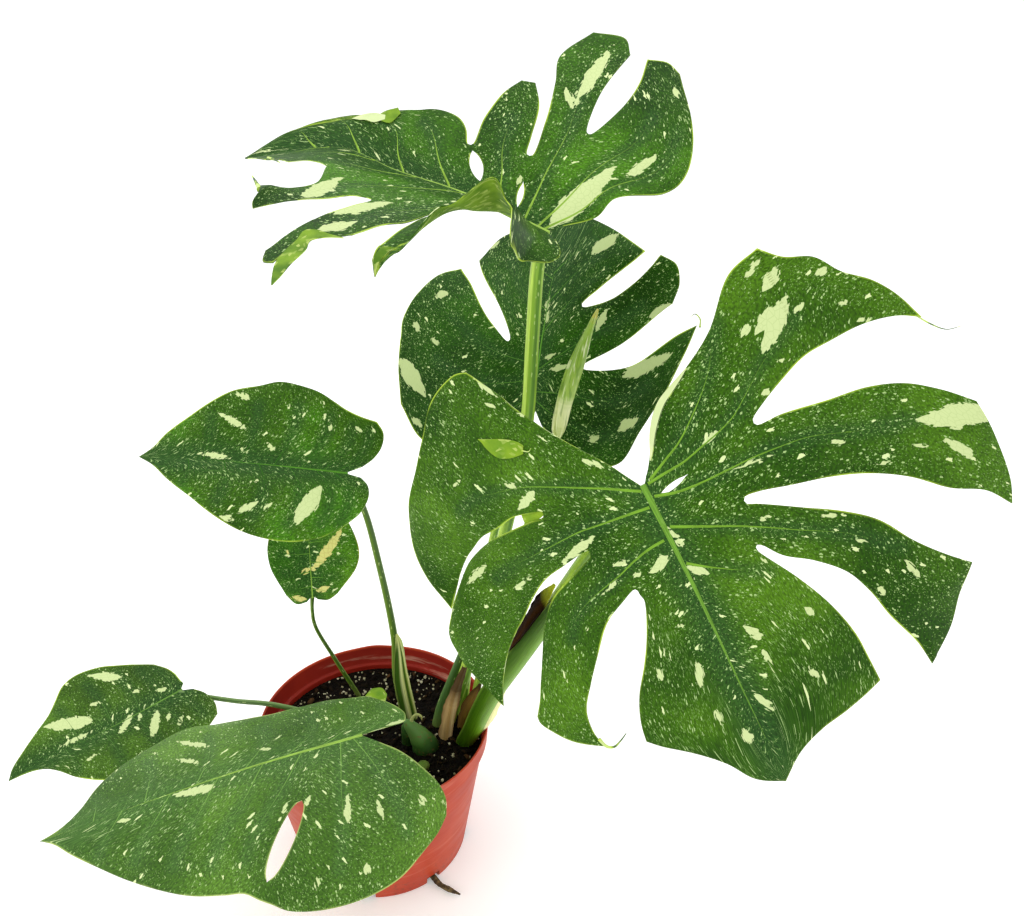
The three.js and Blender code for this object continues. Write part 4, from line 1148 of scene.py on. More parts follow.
frontLeaf = {
    **usualLeaf,
    "name": "leafFront", "node": "leaf_blade_front", "roll": 5,
    "rib": [[5, -83, 179], [-57, -98, 169], [-119, -113, 155], [-184, -129, 138]],
    "step": 2.0, "ribValley": 0.8, "wave": 0.6, "marginDip": 0.4, "ribWidth": 2.8, "veinWidth": 1.1,
    "finish": leafFinish(
        deep="#345810", green="#426818", sunny="#557c24", ribGreen="#3f6428", vein="#6a923e", midrib="#8aae46",
        rim="#b4c66e", veinReach=130.0, shine=0.2, gloss=0.36,
    ),
    "shape": [[0, -10, 12]],
    "leftShape": [[0, -14, 20]],
    "right": [
        {"root": [0, 199], "veins": [8, 24, 46, 72, 102, 134, 166],
         "lead": [[0.5, -10], [0.5, -20], [1, -28], [6, -30], [16, -26], [26, -19]],
         "end": [
             [36, -8], [41, 6], [45, 20], [46, 42], [50, 70], [57, 93], [62, 112], [60, 129], [53, 144], [44, 157],
             [30, 169], [14, 177], [3, 187],
         ]},
    ],
    "left": [
        {"root": [0, 18], "veins": [5, 12],
         "lead": [[-8, -10], [-18, -22], [-32, -33], [-44, -40], [-54, -42], [-63, -40]],
         "end": [[-71, -33], [-79, -22], [-88, -8], [-92, 4], [-94, 18], [-94, 33], [-92, 47], [-88, 60], [-82, 69]],
         "trail": [[-78, 75]]},
        {"root": [18, 199], "veins": [36, 60, 88, 118, 148],
         "leadSlot": {"from": 0.4, "to": 0.88, "half": 5.6, "power": 0.42}, "lead": [[-78, 75]],
         "end": [[-72, 83], [-69, 95], [-63, 114], [-54, 131], [-42, 149], [-29, 165], [-16, 180], [-6, 190]]},
    ],
    "flaps": [
        {"line": [[37, -7], [31, -13], [25, -19]], "inner": [[42, -12], [40, -18], [31, -21]], "lift": 0.3,
         "rise": 0.0},
    ],
    "patches": [
        (42, 108, 30, 3.8, 52), (25, 110, 24, 3, 53), (-4, 103, 32, 4.8, 81), (-32, 37, 9, 2, -43),
        (-43, 15, 18, 3.8, -9), (-49, -3, 12, 3.2, 4), (-50, -28, 9, 3.2, 28), (-56, -41, 7, 2.6, 7),
        (-79, 11, 8, 3.6, -12), (1, -23, 14, 3.4, 84), (-32, 51, 7, 2, -38), (-7, 147, 11, 2.4, 79),
        (-78, 40, 8, 2.2, -20), (-60, 40, 7, 2, -30), (12, 60, 12, 2, 60),
    ],
}

leaves = [bigRightLeaf, topLeaf, backLeaf, heartLeaf, smallLeaf, lowLeftLeaf, frontLeaf]
for leafNumber, leaf in enumerate(leaves):
    leafPiece(leaf, leafNumber)
print("leaf blades ready")

# Round bars that swell a little where they meet a blade. Around a stalk 0 is its right side seen
# from the front, a quarter is its front and a half its left side.


def stalkMaterial(name, bands):
    # A living leaf stalk: smooth, waxy skin with bands of green along it, browner near the soil.
    material, tree = startMaterial(name)
    flow = node(tree, "UVMap")
    parts = node(tree, "SeparateXYZ", [flow])
    tone = node(tree, "ValToRGB", {"Fac": parts}, ramp=bands)
    # Fibres run along the stalk, some 30 around it and 22 mm long.
    fibres = node(tree, "Mapping", {"Vector": flow, "Scale": (30.0, 0.045, 1)})
    grain = node(tree, "TexNoise", {"Vector": fibres, "Scale": 1.0, "Detail": 2.0}, noise_dimensions="2D")
    shade = node(tree, "MapRange", [grain, 0.3, 0.7, 0.84, 1.16])
    tone = node(tree, "VectorMath", {0: tone, 3: shade}, operation="SCALE")
    # Pale dashes in some of 18 cells around, each 4.5 mm long.
    dashes = node(tree, "Mapping", {"Vector": flow, "Scale": (18.0, 0.22, 1)})
    spots = node(tree, "TexVoronoi", {"Vector": dashes, "Scale": 1.0}, voronoi_dimensions="2D")
    luck = node(tree, "SeparateColor", [spots.outputs["Color"]])
    size = node(tree, "MapRange", [luck, 0.0, 0.12, 0.38, 0.0])
    dash = node(tree, "Math", [spots, size], operation="LESS_THAN")
    dash = node(tree, "Math", [dash, 0.6], operation="MULTIPLY")
    tone = node(tree, "Mix", {0: dash, 6: tone, 7: "#c9dc8c"})
    low = node(tree, "MapRange", [parts.outputs[1], 4.0, 26.0, 0.8, 0.0])
    tone = node(tree, "Mix", {0: low, 6: tone, 7: "#6f7a3a"})
    skin = {"Base Color": tone, "Roughness": 0.4, "Specular IOR Level": 0.35}
    return finishMaterial(material, skin, grain, 0.2, 0.0005)


def stalkPart(stalk):
    # The radius is blended between [share of the length, radius] rows, and the top is rounded off like
    # a ball: radius times the root of 1 - (1 - what is left / radius)^2.
    points, radii = stalk["points"], stalk["radii"]
    last = radii[-1][1]
    if "leaf" in stalk:
        points = [*points, leafBender(stalk["leaf"])(0.0, 2.0, -0.7 * last)]
    path = throughPoints(points)
    length = lengthsAlong(path)[-1]
    ends = (1 - np.cos(np.linspace(0, np.pi / 2, 7))) * last / length
    fractions = np.concatenate([np.linspace(0, 1 - last / length, 110), (1 - ends[::-1])[1:-1]])
    radius = np.interp(fractions, *zip(*radii))
    left = np.clip((1 - fractions) * length / radius, 0.0, 1.0)
    radius = radius * np.sqrt(1 - (1 - left) ** 2)
    offsets = ring(radius, radius * stalk.get("flat", 1.0), 25, stalk["groove"])
    return carried(walked(path, fractions), offsets)


limeBands = [
    (0.0, "#bcd37a"), (0.05, "#8fb242"), (0.1, "#93b840"), (0.14, "#4f7a1c"), (0.2, "#5a861f"),
    (0.23, "#7fa634"), (0.31, "#86ac36"), (0.34, "#b9d655"), (0.42, "#b2d24e"), (0.5, "#a2c548"),
    (0.75, "#7fa83a"), (1.0, "#bcd37a"),
]
greenBands = [
    (0.0, "#6c8c38"), (0.1, "#33520e"), (0.2, "#3d5f12"), (0.32, "#5f7e20"), (0.42, "#74903a"),
    (0.5, "#7d9a44"), (0.75, "#4c7020"), (1.0, "#6c8c38"),
]
mossBands = [
    (0.0, "#6a8a44"), (0.15, "#3c5c22"), (0.3, "#4c6c2c"), (0.5, "#6c8c44"), (0.75, "#446628"), (1.0, "#6a8a44"),
]
oldBands = [
    (0.0, "#3b5f26"), (0.2, "#3f6229"), (0.38, "#4b7036"), (0.5, "#6a8a4c"), (0.75, "#34521e"), (1.0, "#3b5f26"),
]

stalks = [
    {"name": "stalkBigRight", "node": "petiole_big_right", "leaf": bigRightLeaf, "bands": limeBands,
     "points": [
         [65, -2, 86], [66, -3, 96], [71, -9, 113], [80, -20, 146], [88, -30, 172], [102, -45, 209], [124, -70, 270],
         [146, -94, 330],
     ],
     "radii": [[0, 5.2], [0.3, 4.6], [0.85, 3.6], [0.94, 3.5], [1, 4.0]], "groove": 0.1},
    {"name": "stalkTop", "node": "petiole_top", "leaf": topLeaf, "bands": limeBands,
     "points": [
         [50, 14, 86], [52, 14, 96], [70, 15, 160], [92, 17, 250], [108.3, 17, 340], [111.7, 15.5, 401],
         [114, 12, 446],
     ],
     "radii": [[0, 4.9], [0.2, 4.5], [0.9, 4.1], [0.95, 4.0], [1, 4.3]], "groove": 0.16},
    {"name": "stalkBack", "node": "petiole_back", "leaf": backLeaf, "bands": limeBands,
     "points": [[61, 21, 86], [62, 22, 96], [70, 30, 160], [86, 42, 240], [102, 52, 306]],
     "radii": [[0, 3.6], [0.3, 3.1], [0.92, 2.7], [1, 3.2]], "groove": 0.08},
    {"name": "stalkHeart", "node": "petiole_heart", "leaf": heartLeaf, "bands": greenBands,
     "points": [[20, 23, 86], [19, 22, 96], [15, 20, 137], [16, 17, 172], [11, 7, 242], [4, -1, 296]],
     "radii": [[0, 3.4], [0.25, 2.7], [0.9, 2.0], [1, 2.5]], "groove": 0.06},
    {"name": "stalkSmall", "node": "petiole_small", "leaf": smallLeaf, "bands": greenBands,
     "points": [[-16, 44, 88], [-19, 44, 96], [-34, 41, 136], [-44, 37, 168], [-44, 33, 186]],
     "radii": [[0, 1.9], [0.4, 1.5], [0.9, 1.3], [1, 1.7]], "groove": 0.04},
    {"name": "stalkLowLeft", "node": "petiole_low_left", "leaf": lowLeftLeaf, "bands": mossBands,
     "points": [[-18, 3, 88], [-22, 4, 96], [-40, 6, 109], [-75, 9, 118.5], [-104, 12, 119.5]],
     "radii": [[0, 2.3], [0.4, 1.9], [0.9, 1.7], [1, 2.1]], "groove": 0.04},
    {"name": "stalkFront", "node": "petiole_front", "leaf": frontLeaf, "bands": greenBands,
     "points": [[38, -24, 88], [37, -30, 97], [34, -46, 110], [24, -66, 138]],
     "radii": [[0, 4.4], [0.4, 3.4], [0.9, 2.8], [1, 3.2]], "groove": 0.06},
    {"name": "stalkRolled", "node": "rolled_leaf_stalk", "bands": limeBands,
     "points": [[66, 11, 86], [68, 12, 96], [80, 15, 160], [106, 16, 255], [127.7, 10, 341]],
     "radii": [[0, 3.2], [0.5, 2.7], [1, 2.4]], "groove": 0.0},
    {"name": "stalkOld", "node": "petiole_old", "slot": "old_petiole", "bands": oldBands,
     "points": [[44, 12, 86], [45, 12, 96], [50, 15, 118], [64, 19, 160]],
     "radii": [[0, 5.2], [0.3, 4.8], [0.6, 3.4], [1, 2.6]], "groove": 0.1, "flat": 0.5},
]

for stalk in stalks:
    skin = stalkMaterial(f"waxy leaf stalk {stalk['name']}", stalk["bands"])
    buildPiece(stalk["name"], [stalkPart(stalk)], [skin], [stalk["node"]])
print("stalks ready")

# A thin sheet that wraps part of the way round a path. Rows are [share of the length, radius,
# first angle, last angle]: 0 points right, -90 to the front and 90 to the back.


def wrapPart(points, rows, thickness, ruffle, seed, material=0):
    # Radius and angles are blended between the rows; hills ruffle the radius, most at the two edges.
    t = np.linspace(0, 1, 70)
    q = np.linspace(0, 1, 25)[None]
    path = walked(throughPoints(points), t)
    rows = np.asarray(rows, float)
    radius, first, last = (np.interp(t, rows[:, 0], rows[:, k])[:, None] for k in (1, 2, 3))
    angle = np.radians(first + (last - first) * q)
    edgeLift = np.abs(2 * q - 1) ** 6
    along = lengthsAlong(path)[:, None]
    radius = radius * (1 + 0.1 * edgeLift) + ruffle * hills(q * 40, along, 9.0, seed) * (0.3 + edgeLift)
    solid = placed(path, paired(radius * np.cos(angle), -radius * np.sin(angle)), [0.0, -1.0, 0.0])
    sheet = welded(solid.reshape(-1, 3), gridFaces(t.size, q.size), paired(q, along).reshape(-1, 2))
    return thickened(sheet, thickness, (material, material, material))


def sheathMaterial(name, bands, tip, length, roughness=0.45, shine=0.16):
    # A leaf sheath: bands of colour across it, fibres along it and another tone at its tip.
    material, tree = startMaterial(name)
    flow = node(tree, "UVMap")
    parts = node(tree, "SeparateXYZ", [flow])
    tone = node(tree, "ValToRGB", {"Fac": parts}, ramp=bands)
    # About 60 fibres across, each some 25 mm long.
    fibres = node(tree, "Mapping", {"Vector": flow, "Scale": (60.0, 0.04, 1)})
    grain = node(tree, "TexNoise", {"Vector": fibres, "Scale": 1.0, "Detail": 3.0}, noise_dimensions="2D")
    shade = node(tree, "MapRange", [grain, 0.25, 0.75, 0.72, 1.28])
    tone = node(tree, "VectorMath", {0: tone, 3: shade}, operation="SCALE")
    cloud = node(tree, "TexNoise", {"Vector": flow, "Scale": 0.12, "Detail": 3.0}, noise_dimensions="2D")
    edge = node(tree, "Math", [cloud, 14.0, parts.outputs[1]], operation="MULTIPLY_ADD")
    end = node(tree, "MapRange", [edge, length - 8.0, length + 8.0, 0.0, 0.9])
    tone = node(tree, "Mix", {0: end, 6: tone, 7: tip})
    skin = {"Base Color": tone, "Roughness": roughness, "Specular IOR Level": shine}
    return finishMaterial(material, skin, grain, 0.35, 0.0006)


sheaths = [
    {"name": "sheathBigRight", "node": "sheath_big_right", "slot": "petiole", "thickness": 0.7,
     "points": [
         [65, -2, 88], [66, -3, 96], [71, -9, 113], [80, -20, 146], [88, -30, 172], [102, -45, 209], [124, -69, 268],
         [133, -80, 292],
     ],
     "rows": [
         [0, 6.2, -165, 40], [0.15, 7.2, -160, 30], [0.45, 8.0, -158, 20], [0.8, 7.2, -150, 10],
         [0.92, 6.2, -135, -10], [1, 5.2, -100, -50],
     ],
     "bands": [
         (0.0, "#64822a"), (0.07, "#2f5004"), (0.28, "#3f6408"), (0.46, "#588217"), (0.6, "#74a02c"),
         (0.76, "#568017"), (1.0, "#84a838"),
     ],
     "tip": "#7d9c38", "wingShift": [7.0, 1.5, 0.0],
     "wing": [
         [0.06, 1.2, -150, -20], [0.13, 3.4, -150, -20], [0.22, 4.8, -150, -25], [0.32, 4.0, -150, -30],
         [0.44, 1.0, -150, -40],
     ]},
    {"name": "sheathHeart", "node": "sheath_heart", "slot": "petiole", "thickness": 0.6,
     "points": [[23, 22, 88], [22.5, 21.5, 96], [18.5, 19, 137], [17.5, 16.5, 172], [17, 15.5, 180]],
     "rows": [
         [0, 5.6, -160, 60], [0.5, 5.2, -150, 50], [0.75, 4.2, -125, 30], [0.92, 3.0, -100, 0], [1, 2.2, -70, -40],
     ],
     "bands": [
         (0.0, "#8c9c4c"), (0.06, "#2c4a0e"), (0.26, "#3a5c16"), (0.36, "#cfd592"), (0.43, "#c2ca7c"),
         (0.48, "#2c4a0e"), (0.56, "#54741c"), (0.62, "#bdc774"), (0.68, "#d8dc9a"), (0.78, "#8aa440"),
         (1.0, "#9cb850"),
     ],
     "tip": "#c8d07e"},
    {"name": "sheathBrown", "node": "sheath_brown", "slot": "dried_sheath", "thickness": 0.6, "ruffle": 1.2,
     "points": [[100, -43, 203], [111, -54, 229], [122, -67, 262], [131, -78, 290]],
     "rows": [
         [0, 8.6, -186, -166], [0.25, 9.6, -200, -150], [0.6, 10.2, -205, -138], [0.82, 9.6, -195, -132],
         [0.93, 8.6, -178, -138], [1, 7.8, -162, -150],
     ],
     "bands": [(0.0, "#150701"), (0.4, "#261003"), (0.7, "#3d2008"), (1.0, "#160802")], "tip": "#d0d23c",
     "tipFrom": 0.95, "roughness": 0.75, "shine": 0.02},
    {"name": "sheathTan", "node": "sheath_tan", "slot": "tan_sheath", "thickness": 0.5, "ruffle": 1.6,
     "points": [[50, 2, 88], [51, 3, 97], [57.5, 4, 131], [66, 6, 158]],
     "rows": [[0, 4.6, -190, 70], [0.3, 4.4, -180, 30], [0.6, 3.8, -170, 0], [1, 2.6, -140, -30]],
     "bands": [
         (0.0, "#8a6c44"), (0.25, "#bc9c68"), (0.45, "#a4824e"), (0.6, "#d0b484"), (0.8, "#a8875a"),
         (1.0, "#7c5f3a"),
     ],
     "tip": "#3a2610", "tipFrom": 0.72, "roughness": 0.75},
    {"name": "sheathTanShort", "node": "sheath_tan_short", "slot": "tan_sheath", "thickness": 0.5, "ruffle": 1.8,
     "points": [[62, 10, 88], [63, 11, 96], [68, 9, 118], [77, 8, 140]],
     "rows": [[0, 3.8, -200, 60], [0.5, 3.8, -185, 10], [0.85, 3.0, -160, -30], [1, 1.2, -130, -70]],
     "bands": [(0.0, "#5a4018"), (0.4, "#86652c"), (0.7, "#735322"), (1.0, "#4a3414")], "tip": "#3a2612",
     "roughness": 0.75},
]

for number, sheath in enumerate(sheaths):
    name, points = sheath["name"], throughPoints(sheath["points"])
    parts = [wrapPart(sheath["points"], sheath["rows"], sheath["thickness"], sheath.get("ruffle", 0.25), number + 5)]
    tipAt = lengthsAlong(points)[-1] * sheath.get("tipFrom", 1.0)
    finish = sheath.get("roughness", 0.42), sheath.get("shine", 0.16)
    skins = [sheathMaterial(f"leaf sheath {name}", sheath["bands"], sheath["tip"], tipAt, *finish)]
    if "wing" in sheath:
        # The papery margin of the sheath stands off it.
        start, stop = sheath["wing"][0][0], sheath["wing"][-1][0]
        path = walked(points, np.linspace(start, stop, 12)) + sheath["wingShift"]
        rows = [[(share - start) / (stop - start), *rest] for share, *rest in sheath["wing"]]
        parts.append(wrapPart(path, rows, 0.4, 0.5, 3, material=1))
        cream = [(0.0, "#cfd88a"), (0.4, "#eeeea4"), (1.0, "#f2eeb0")]
        skins.append(sheathMaterial("pale sheath margin", cream, "#d4dc86", 200.0))
    buildPiece(name, parts, skins, [sheath["node"]])
print("sheaths ready")

# A blade still rolled: around it the radius grows by a step, which shows as the rolled margin and
# winds up the spear.

rolledLeaf = {
    "points": [[127.7, 10, 338], [132, 10.5, 362], [140, 10, 393], [146, 9.5, 413], [149.5, 9, 423]],
    "radii": [
        [0, 2.6], [0.06, 4.6], [0.14, 5.3], [0.4, 5.5], [0.56, 5.3], [0.68, 4.4], [0.82, 2.9], [0.93, 2.0], [1, 0.8],
    ],
    "step": 0.24,  # shares of the radius
    "folds": 0.02,
    "seamStart": 0.36,  # shares of the way around
    "seamTurn": 0.34,
}


def rolledLeafPart():
    # At the share t of the way around from the seam, the radius is 1 - step (3 t^2 - 2 t^3) times its
    # row's, with five faint folds. The seam winds by seamTurn from foot to tip.
    shares, path, radius = taperedPath(rolledLeaf, 90)
    turn = np.linspace(0, 1, 61)[None]
    seam = rolledLeaf["seamStart"] + rolledLeaf["seamTurn"] * shares[:, None]
    grown = 1 - rolledLeaf["step"] * smoothStep(0, 1, turn)
    grown = radius[:, None] * (grown + rolledLeaf["folds"] * np.cos(2 * np.pi * 5 * turn) * (1 - turn))
    angle = 2 * np.pi * (seam + turn)
    offsets = paired(grown * np.cos(angle), grown * np.sin(angle))
    flow = paired(turn, lengthsAlong(path)[:, None])
    # The step itself closes the profile: its last column joins its first one.
    offsets = np.concatenate([offsets, offsets[:, :1]], 1)
    flow = np.concatenate([flow, flow[:, -1:]], 1)
    return carried(path, offsets, flow)


def rolledLeafMaterial():
    # Young leaf tissue: cream at the foot, lime with white streaks above, yellow at the tip.
    material, tree = startMaterial("young rolled leaf tissue")
    flow = node(tree, "UVMap")
    parts = node(tree, "SeparateXYZ", [flow])
    cloud = node(tree, "TexNoise", {"Vector": flow, "Scale": 0.2, "Detail": 2.0}, noise_dimensions="2D")
    height = node(tree, "Math", [cloud, 20.0, parts.outputs[1]], operation="MULTIPLY_ADD")
    share = node(tree, "MapRange", [height, 6.0, 98.0])
    upwards = [
        (0.0, "#9ab04a"), (0.1, "#d3d894"), (0.26, "#dfe2ac"), (0.4, "#9cb850"), (0.68, "#7a9c2a"),
        (0.9, "#86a634"), (1.0, "#b8a82e"),
    ]
    tone = node(tree, "ValToRGB", {"Fac": share}, ramp=upwards)
    streaks = node(tree, "Mapping", {"Vector": flow, "Scale": (16.0, 0.07, 1)})
    grain = node(tree, "TexNoise", {"Vector": streaks, "Scale": 1.0, "Detail": 2.0}, noise_dimensions="2D")
    white = node(tree, "MapRange", [grain, 0.62, 0.7, 0.0, 0.6])
    tone = node(tree, "Mix", {0: white, 6: tone, 7: "#eef0c8"})
    dark = node(tree, "MapRange", [grain, 0.34, 0.42, 0.5, 0.0])
    tone = node(tree, "Mix", {0: dark, 6: tone, 7: "#527a1e"})
    return finishMaterial(material, {"Base Color": tone, "Roughness": 0.45}, grain, 0.2, 0.0005)


buildPiece("rolledLeaf", [rolledLeafPart()], [rolledLeafMaterial()], ["rolled_leaf"], sharpAngle=40)


def crownMaterial(name, ramp):
    # Thick green stem, darker towards its foot, with brown corky specks.
    material, tree = startMaterial(name)
    flow = node(tree, "UVMap")
    place = node(tree, "TexCoord").outputs["Object"]
    parts = node(tree, "SeparateXYZ", [flow])
    cloud = node(tree, "TexNoise", {"Vector": place, "Scale": 160.0, "Detail": 3.0})
    height = node(tree, "Math", [cloud, 5.0, parts.outputs[1]], operation="MULTIPLY_ADD")
    share = node(tree, "MapRange", [height, 0.0, 34.0])
    tone = node(tree, "ValToRGB", {"Fac": share}, ramp=ramp)
    specks = node(tree, "TexVoronoi", {"Vector": place, "Scale": 700.0}).outputs["Color"]
    luck = node(tree, "SeparateColor", [specks])
    cork = node(tree, "MapRange", [luck, 0.0, 0.14, 0.6, 0.0])
    tone = node(tree, "Mix", {0: cork, 6: tone, 7: "#6b5530"})
    skin = {"Base Color": tone, "Roughness": 0.5, "Specular IOR Level": 0.2}
    return finishMaterial(material, skin, cloud, 0.4, 0.001)


crowns = [
    {"name": "stemCrown", "node": "stem_crown", "columns": 41,
     "points": [[38, -9, 88], [37, -10, 96], [33, -11, 107], [24, -12, 123]],
     "radii": [
         [0, 8.4], [0.2, 9.6], [0.34, 9.0], [0.42, 7.8], [0.48, 8.1], [0.7, 5.9], [0.88, 4.2], [0.97, 2.8], [1, 0.8],
     ],
     "ramp": [
         (0.0, "#0c1804"), (0.3, "#152a08"), (0.46, "#28481a"), (0.6, "#3d6428"), (0.8, "#547a38"), (1.0, "#54783a"),
     ],
     "bract": [
         [31, -11.5, 115], [28, -12, 121], [29.5, -12, 126], [32.5, -12.3, 129], [35.2, -12.6, 127.4],
         [35.6, -12.8, 124.5],
     ]},
    {"name": "stemStub", "node": "stem_stub", "columns": 33,
     "points": [[24.5, -4, 88], [24, -4, 96], [23.5, -4.5, 104], [22.5, -5, 114]],
     "radii": [[0, 4.4], [0.35, 5.0], [0.55, 4.4], [0.62, 4.6], [0.85, 3.4], [0.96, 1.8], [1, 0.5]],
     "ramp": [(0.0, "#101e06"), (0.4, "#1e3a12"), (0.7, "#2f5220"), (1.0, "#4f703a")]},
]

for crown in crowns:
    # The radius, averaged along the stem, is multiplied by two and five shallow bulges around it.
    shares, path, radius = taperedPath(crown, 60)
    radius = np.convolve(np.pad(radius, 3, mode="edge"), np.ones(7) / 7, "valid")
    offsets = ring(radius, radius, crown["columns"])
    around = np.linspace(0, 1, crown["columns"])[None]
    bumps = 1 + 0.05 * np.cos(2 * np.pi * (2 * around + shares[:, None])) + 0.03 * np.cos(2 * np.pi * 5 * around)
    crownParts = [carried(path, offsets * bumps[..., None])]
    skins = [crownMaterial(f"living stem {crown['name']}", crown["ramp"])]
    if "bract" in crown:
        # A withered bract curls off the top of the crown.
        path = throughPoints(crown["bract"], 10)
        thick = np.interp(np.linspace(0, 1, len(path)), [0, 0.3, 0.8, 1], [1.6, 1.3, 1.0, 0.4])
        crownParts.append(carried(path, ring(thick, thick * 0.6, 13), material=1))
        faded = [(0.0, "#8f9a58"), (0.5, "#a9b06c"), (1.0, "#8f9a58")]
        skins.append(sheathMaterial(f"withered bract {crown['name']}", faded, "#9a8c50", 30.0))
    buildPiece(crown["name"], crownParts, skins, [crown["node"]])
print("rolled leaf and stem ready")

pot = {
    "footRadius": 63.0,
    "footBend": 62.0,  # radius at which the floor bends up
    "floor": 2.0,
    "shoulderRadius": 78.8,
    "shoulderHeight": 97.5,
    "wall": 1.6,
    "notchHeight": 7.0,
    "notchInner": 52.0,
    "notchWidth": 11.0,
    "notchFirst": -49.0,  # degrees
    "columns": 288,
    "lipAngle": 97.0,
    "lipRise": 0.9,
    # The outline from the notches up over the rim and down inside: (radius, height).
    "rim": [
        (78.9, 97.9), (79.4, 98.25), (80.7, 98.4), (81.2, 98.9), (81.35, 100.5), (82.15, 112.0), (82.4, 112.9),
        (82.2, 113.4), (81.6, 113.5), (81.0, 113.1), (80.7, 112.2), (79.7, 100.2), (79.2, 99.2), (78.0, 98.7),
        (77.3, 98.3), (77.0, 97.6),
    ],
}


def wallRadius(z):
    # A straight taper from the foot's radius to the shoulder's.
    return pot["footRadius"] + (pot["shoulderRadius"] - pot["footRadius"]) * z / pot["shoulderHeight"]


def turnedGrid(profile, angles):
    # A profile of (radius, height) turned about the pot's axis: (radius cos a, radius sin a, height).
    radius, z = np.asarray(profile, float).T[:, :, None]
    return np.stack(np.broadcast_arrays(radius * np.cos(angles), radius * np.sin(angles), z), -1)


def potPart():
    # Profiles turned about the axis: the wall, and the floor with a cut through both at each notch.
    columns = pot["columns"]
    angles = np.linspace(0, 2 * np.pi, columns + 1)
    half = math.asin(pot["notchWidth"] / 2 / pot["footRadius"])
    centres = np.radians(pot["notchFirst"] + 45 * np.arange(8))
    # Grid columns nearest to a notch's sides move onto them.
    sides = np.sort(np.concatenate([centres - half, centres + half]) % (2 * np.pi))
    for side in sides:
        angles[np.argmin(np.abs(angles - side))] = side
    middle = (angles[1:] + angles[:-1]) / 2
    notched = np.abs((middle[:, None] - centres[None] + np.pi) % (2 * np.pi) - np.pi).min(1) < half
    everywhere = np.ones(columns, bool)
    high, wall, inner = pot["notchHeight"], pot["wall"], pot["notchInner"]
    low, bend, levels = pot["floor"], pot["footBend"], 24
    climb = [(wallRadius(z), z) for z in np.linspace(high, pot["shoulderHeight"], levels)]
    fall = [(wallRadius(z) - wall, z) for z in np.linspace(pot["shoulderHeight"] - 1, high, levels)]
    insideFrom = levels + len(pot["rim"]) - 6  # the row of the rim's inner edge
    outline = [
        (inner, 0), (bend, 0), (wallRadius(1), 1), (wallRadius(high), high), (wallRadius(high) - wall, high),
        (bend - 0.5, low), (inner, low),
    ]
    profiles = [
        (climb + pot["rim"] + fall, everywhere),
        ([(0, 0), (20, 0), (inner, 0)], everywhere),
        ([(inner, low), (20, low), (0, low)], everywhere),
        (outline[:4], ~notched),
        (outline[4:], ~notched),
        (outline[4:2:-1], notched),
        ([(inner, 0), (inner, low)], notched),
    ]
    points, faces, flow, material, offset = [], [], [], [], 0
    for number, (profile, keep) in enumerate(profiles):
        rows = len(profile)
        lengths = lengthsAlong(np.asarray(profile, float))[:, None]
        made = gridFaces(rows, columns + 1, flip=True).reshape(2, rows - 1, columns, 3)[:, :, keep]
        index = np.zeros(made.shape[:3], int)
        if number == 0:
            index[:, insideFrom:] = 1
        points.append(turnedGrid(profile, angles).reshape(-1, 3))
        flow.append(paired(angles[None] * 80, lengths).reshape(-1, 2))
        faces.append(made.reshape(-1, 3) + offset)
        material.append(index.ravel())
        offset += rows * (columns + 1)
    # The sides of the notches: floor and wall cut through.
    cut = np.array([(0, 1, 5), (0, 5, 6), (1, 2, 5), (2, 4, 5), (2, 3, 4)])
    for side in sides:
        entering = notched[np.searchsorted(angles, side + 1e-6) - 1]
        points.append(turnedGrid(outline, np.array([side])).reshape(-1, 3))
        flow.append(np.zeros((len(outline), 2)))
        faces.append((cut if entering else cut[:, ::-1]) + offset)
        material.append(np.zeros(len(cut), int))
        offset += len(outline)
    points, faces, flow, material = (np.concatenate(lists) for lists in (points, faces, flow, material))
    angle = np.degrees(np.arctan2(points[:, 1], points[:, 0]))
    radius = np.hypot(points[:, 0], points[:, 1])
    lip = smoothStep(104, 113, points[:, 2]) * np.exp(-(((angle - pot["lipAngle"]) / 7) ** 2))
    points[:, 2] += pot["lipRise"] * lip
    # A moulded pot is never quite round.
    out = 0.25 * np.cos(np.radians(angle) * 2 + 0.6) * smoothStep(20, 110, points[:, 2])
    points[:, :2] += points[:, :2] / np.maximum(radius, 1)[:, None] * out[:, None]
    return welded(points, faces, flow, grain=0.003, material=material)


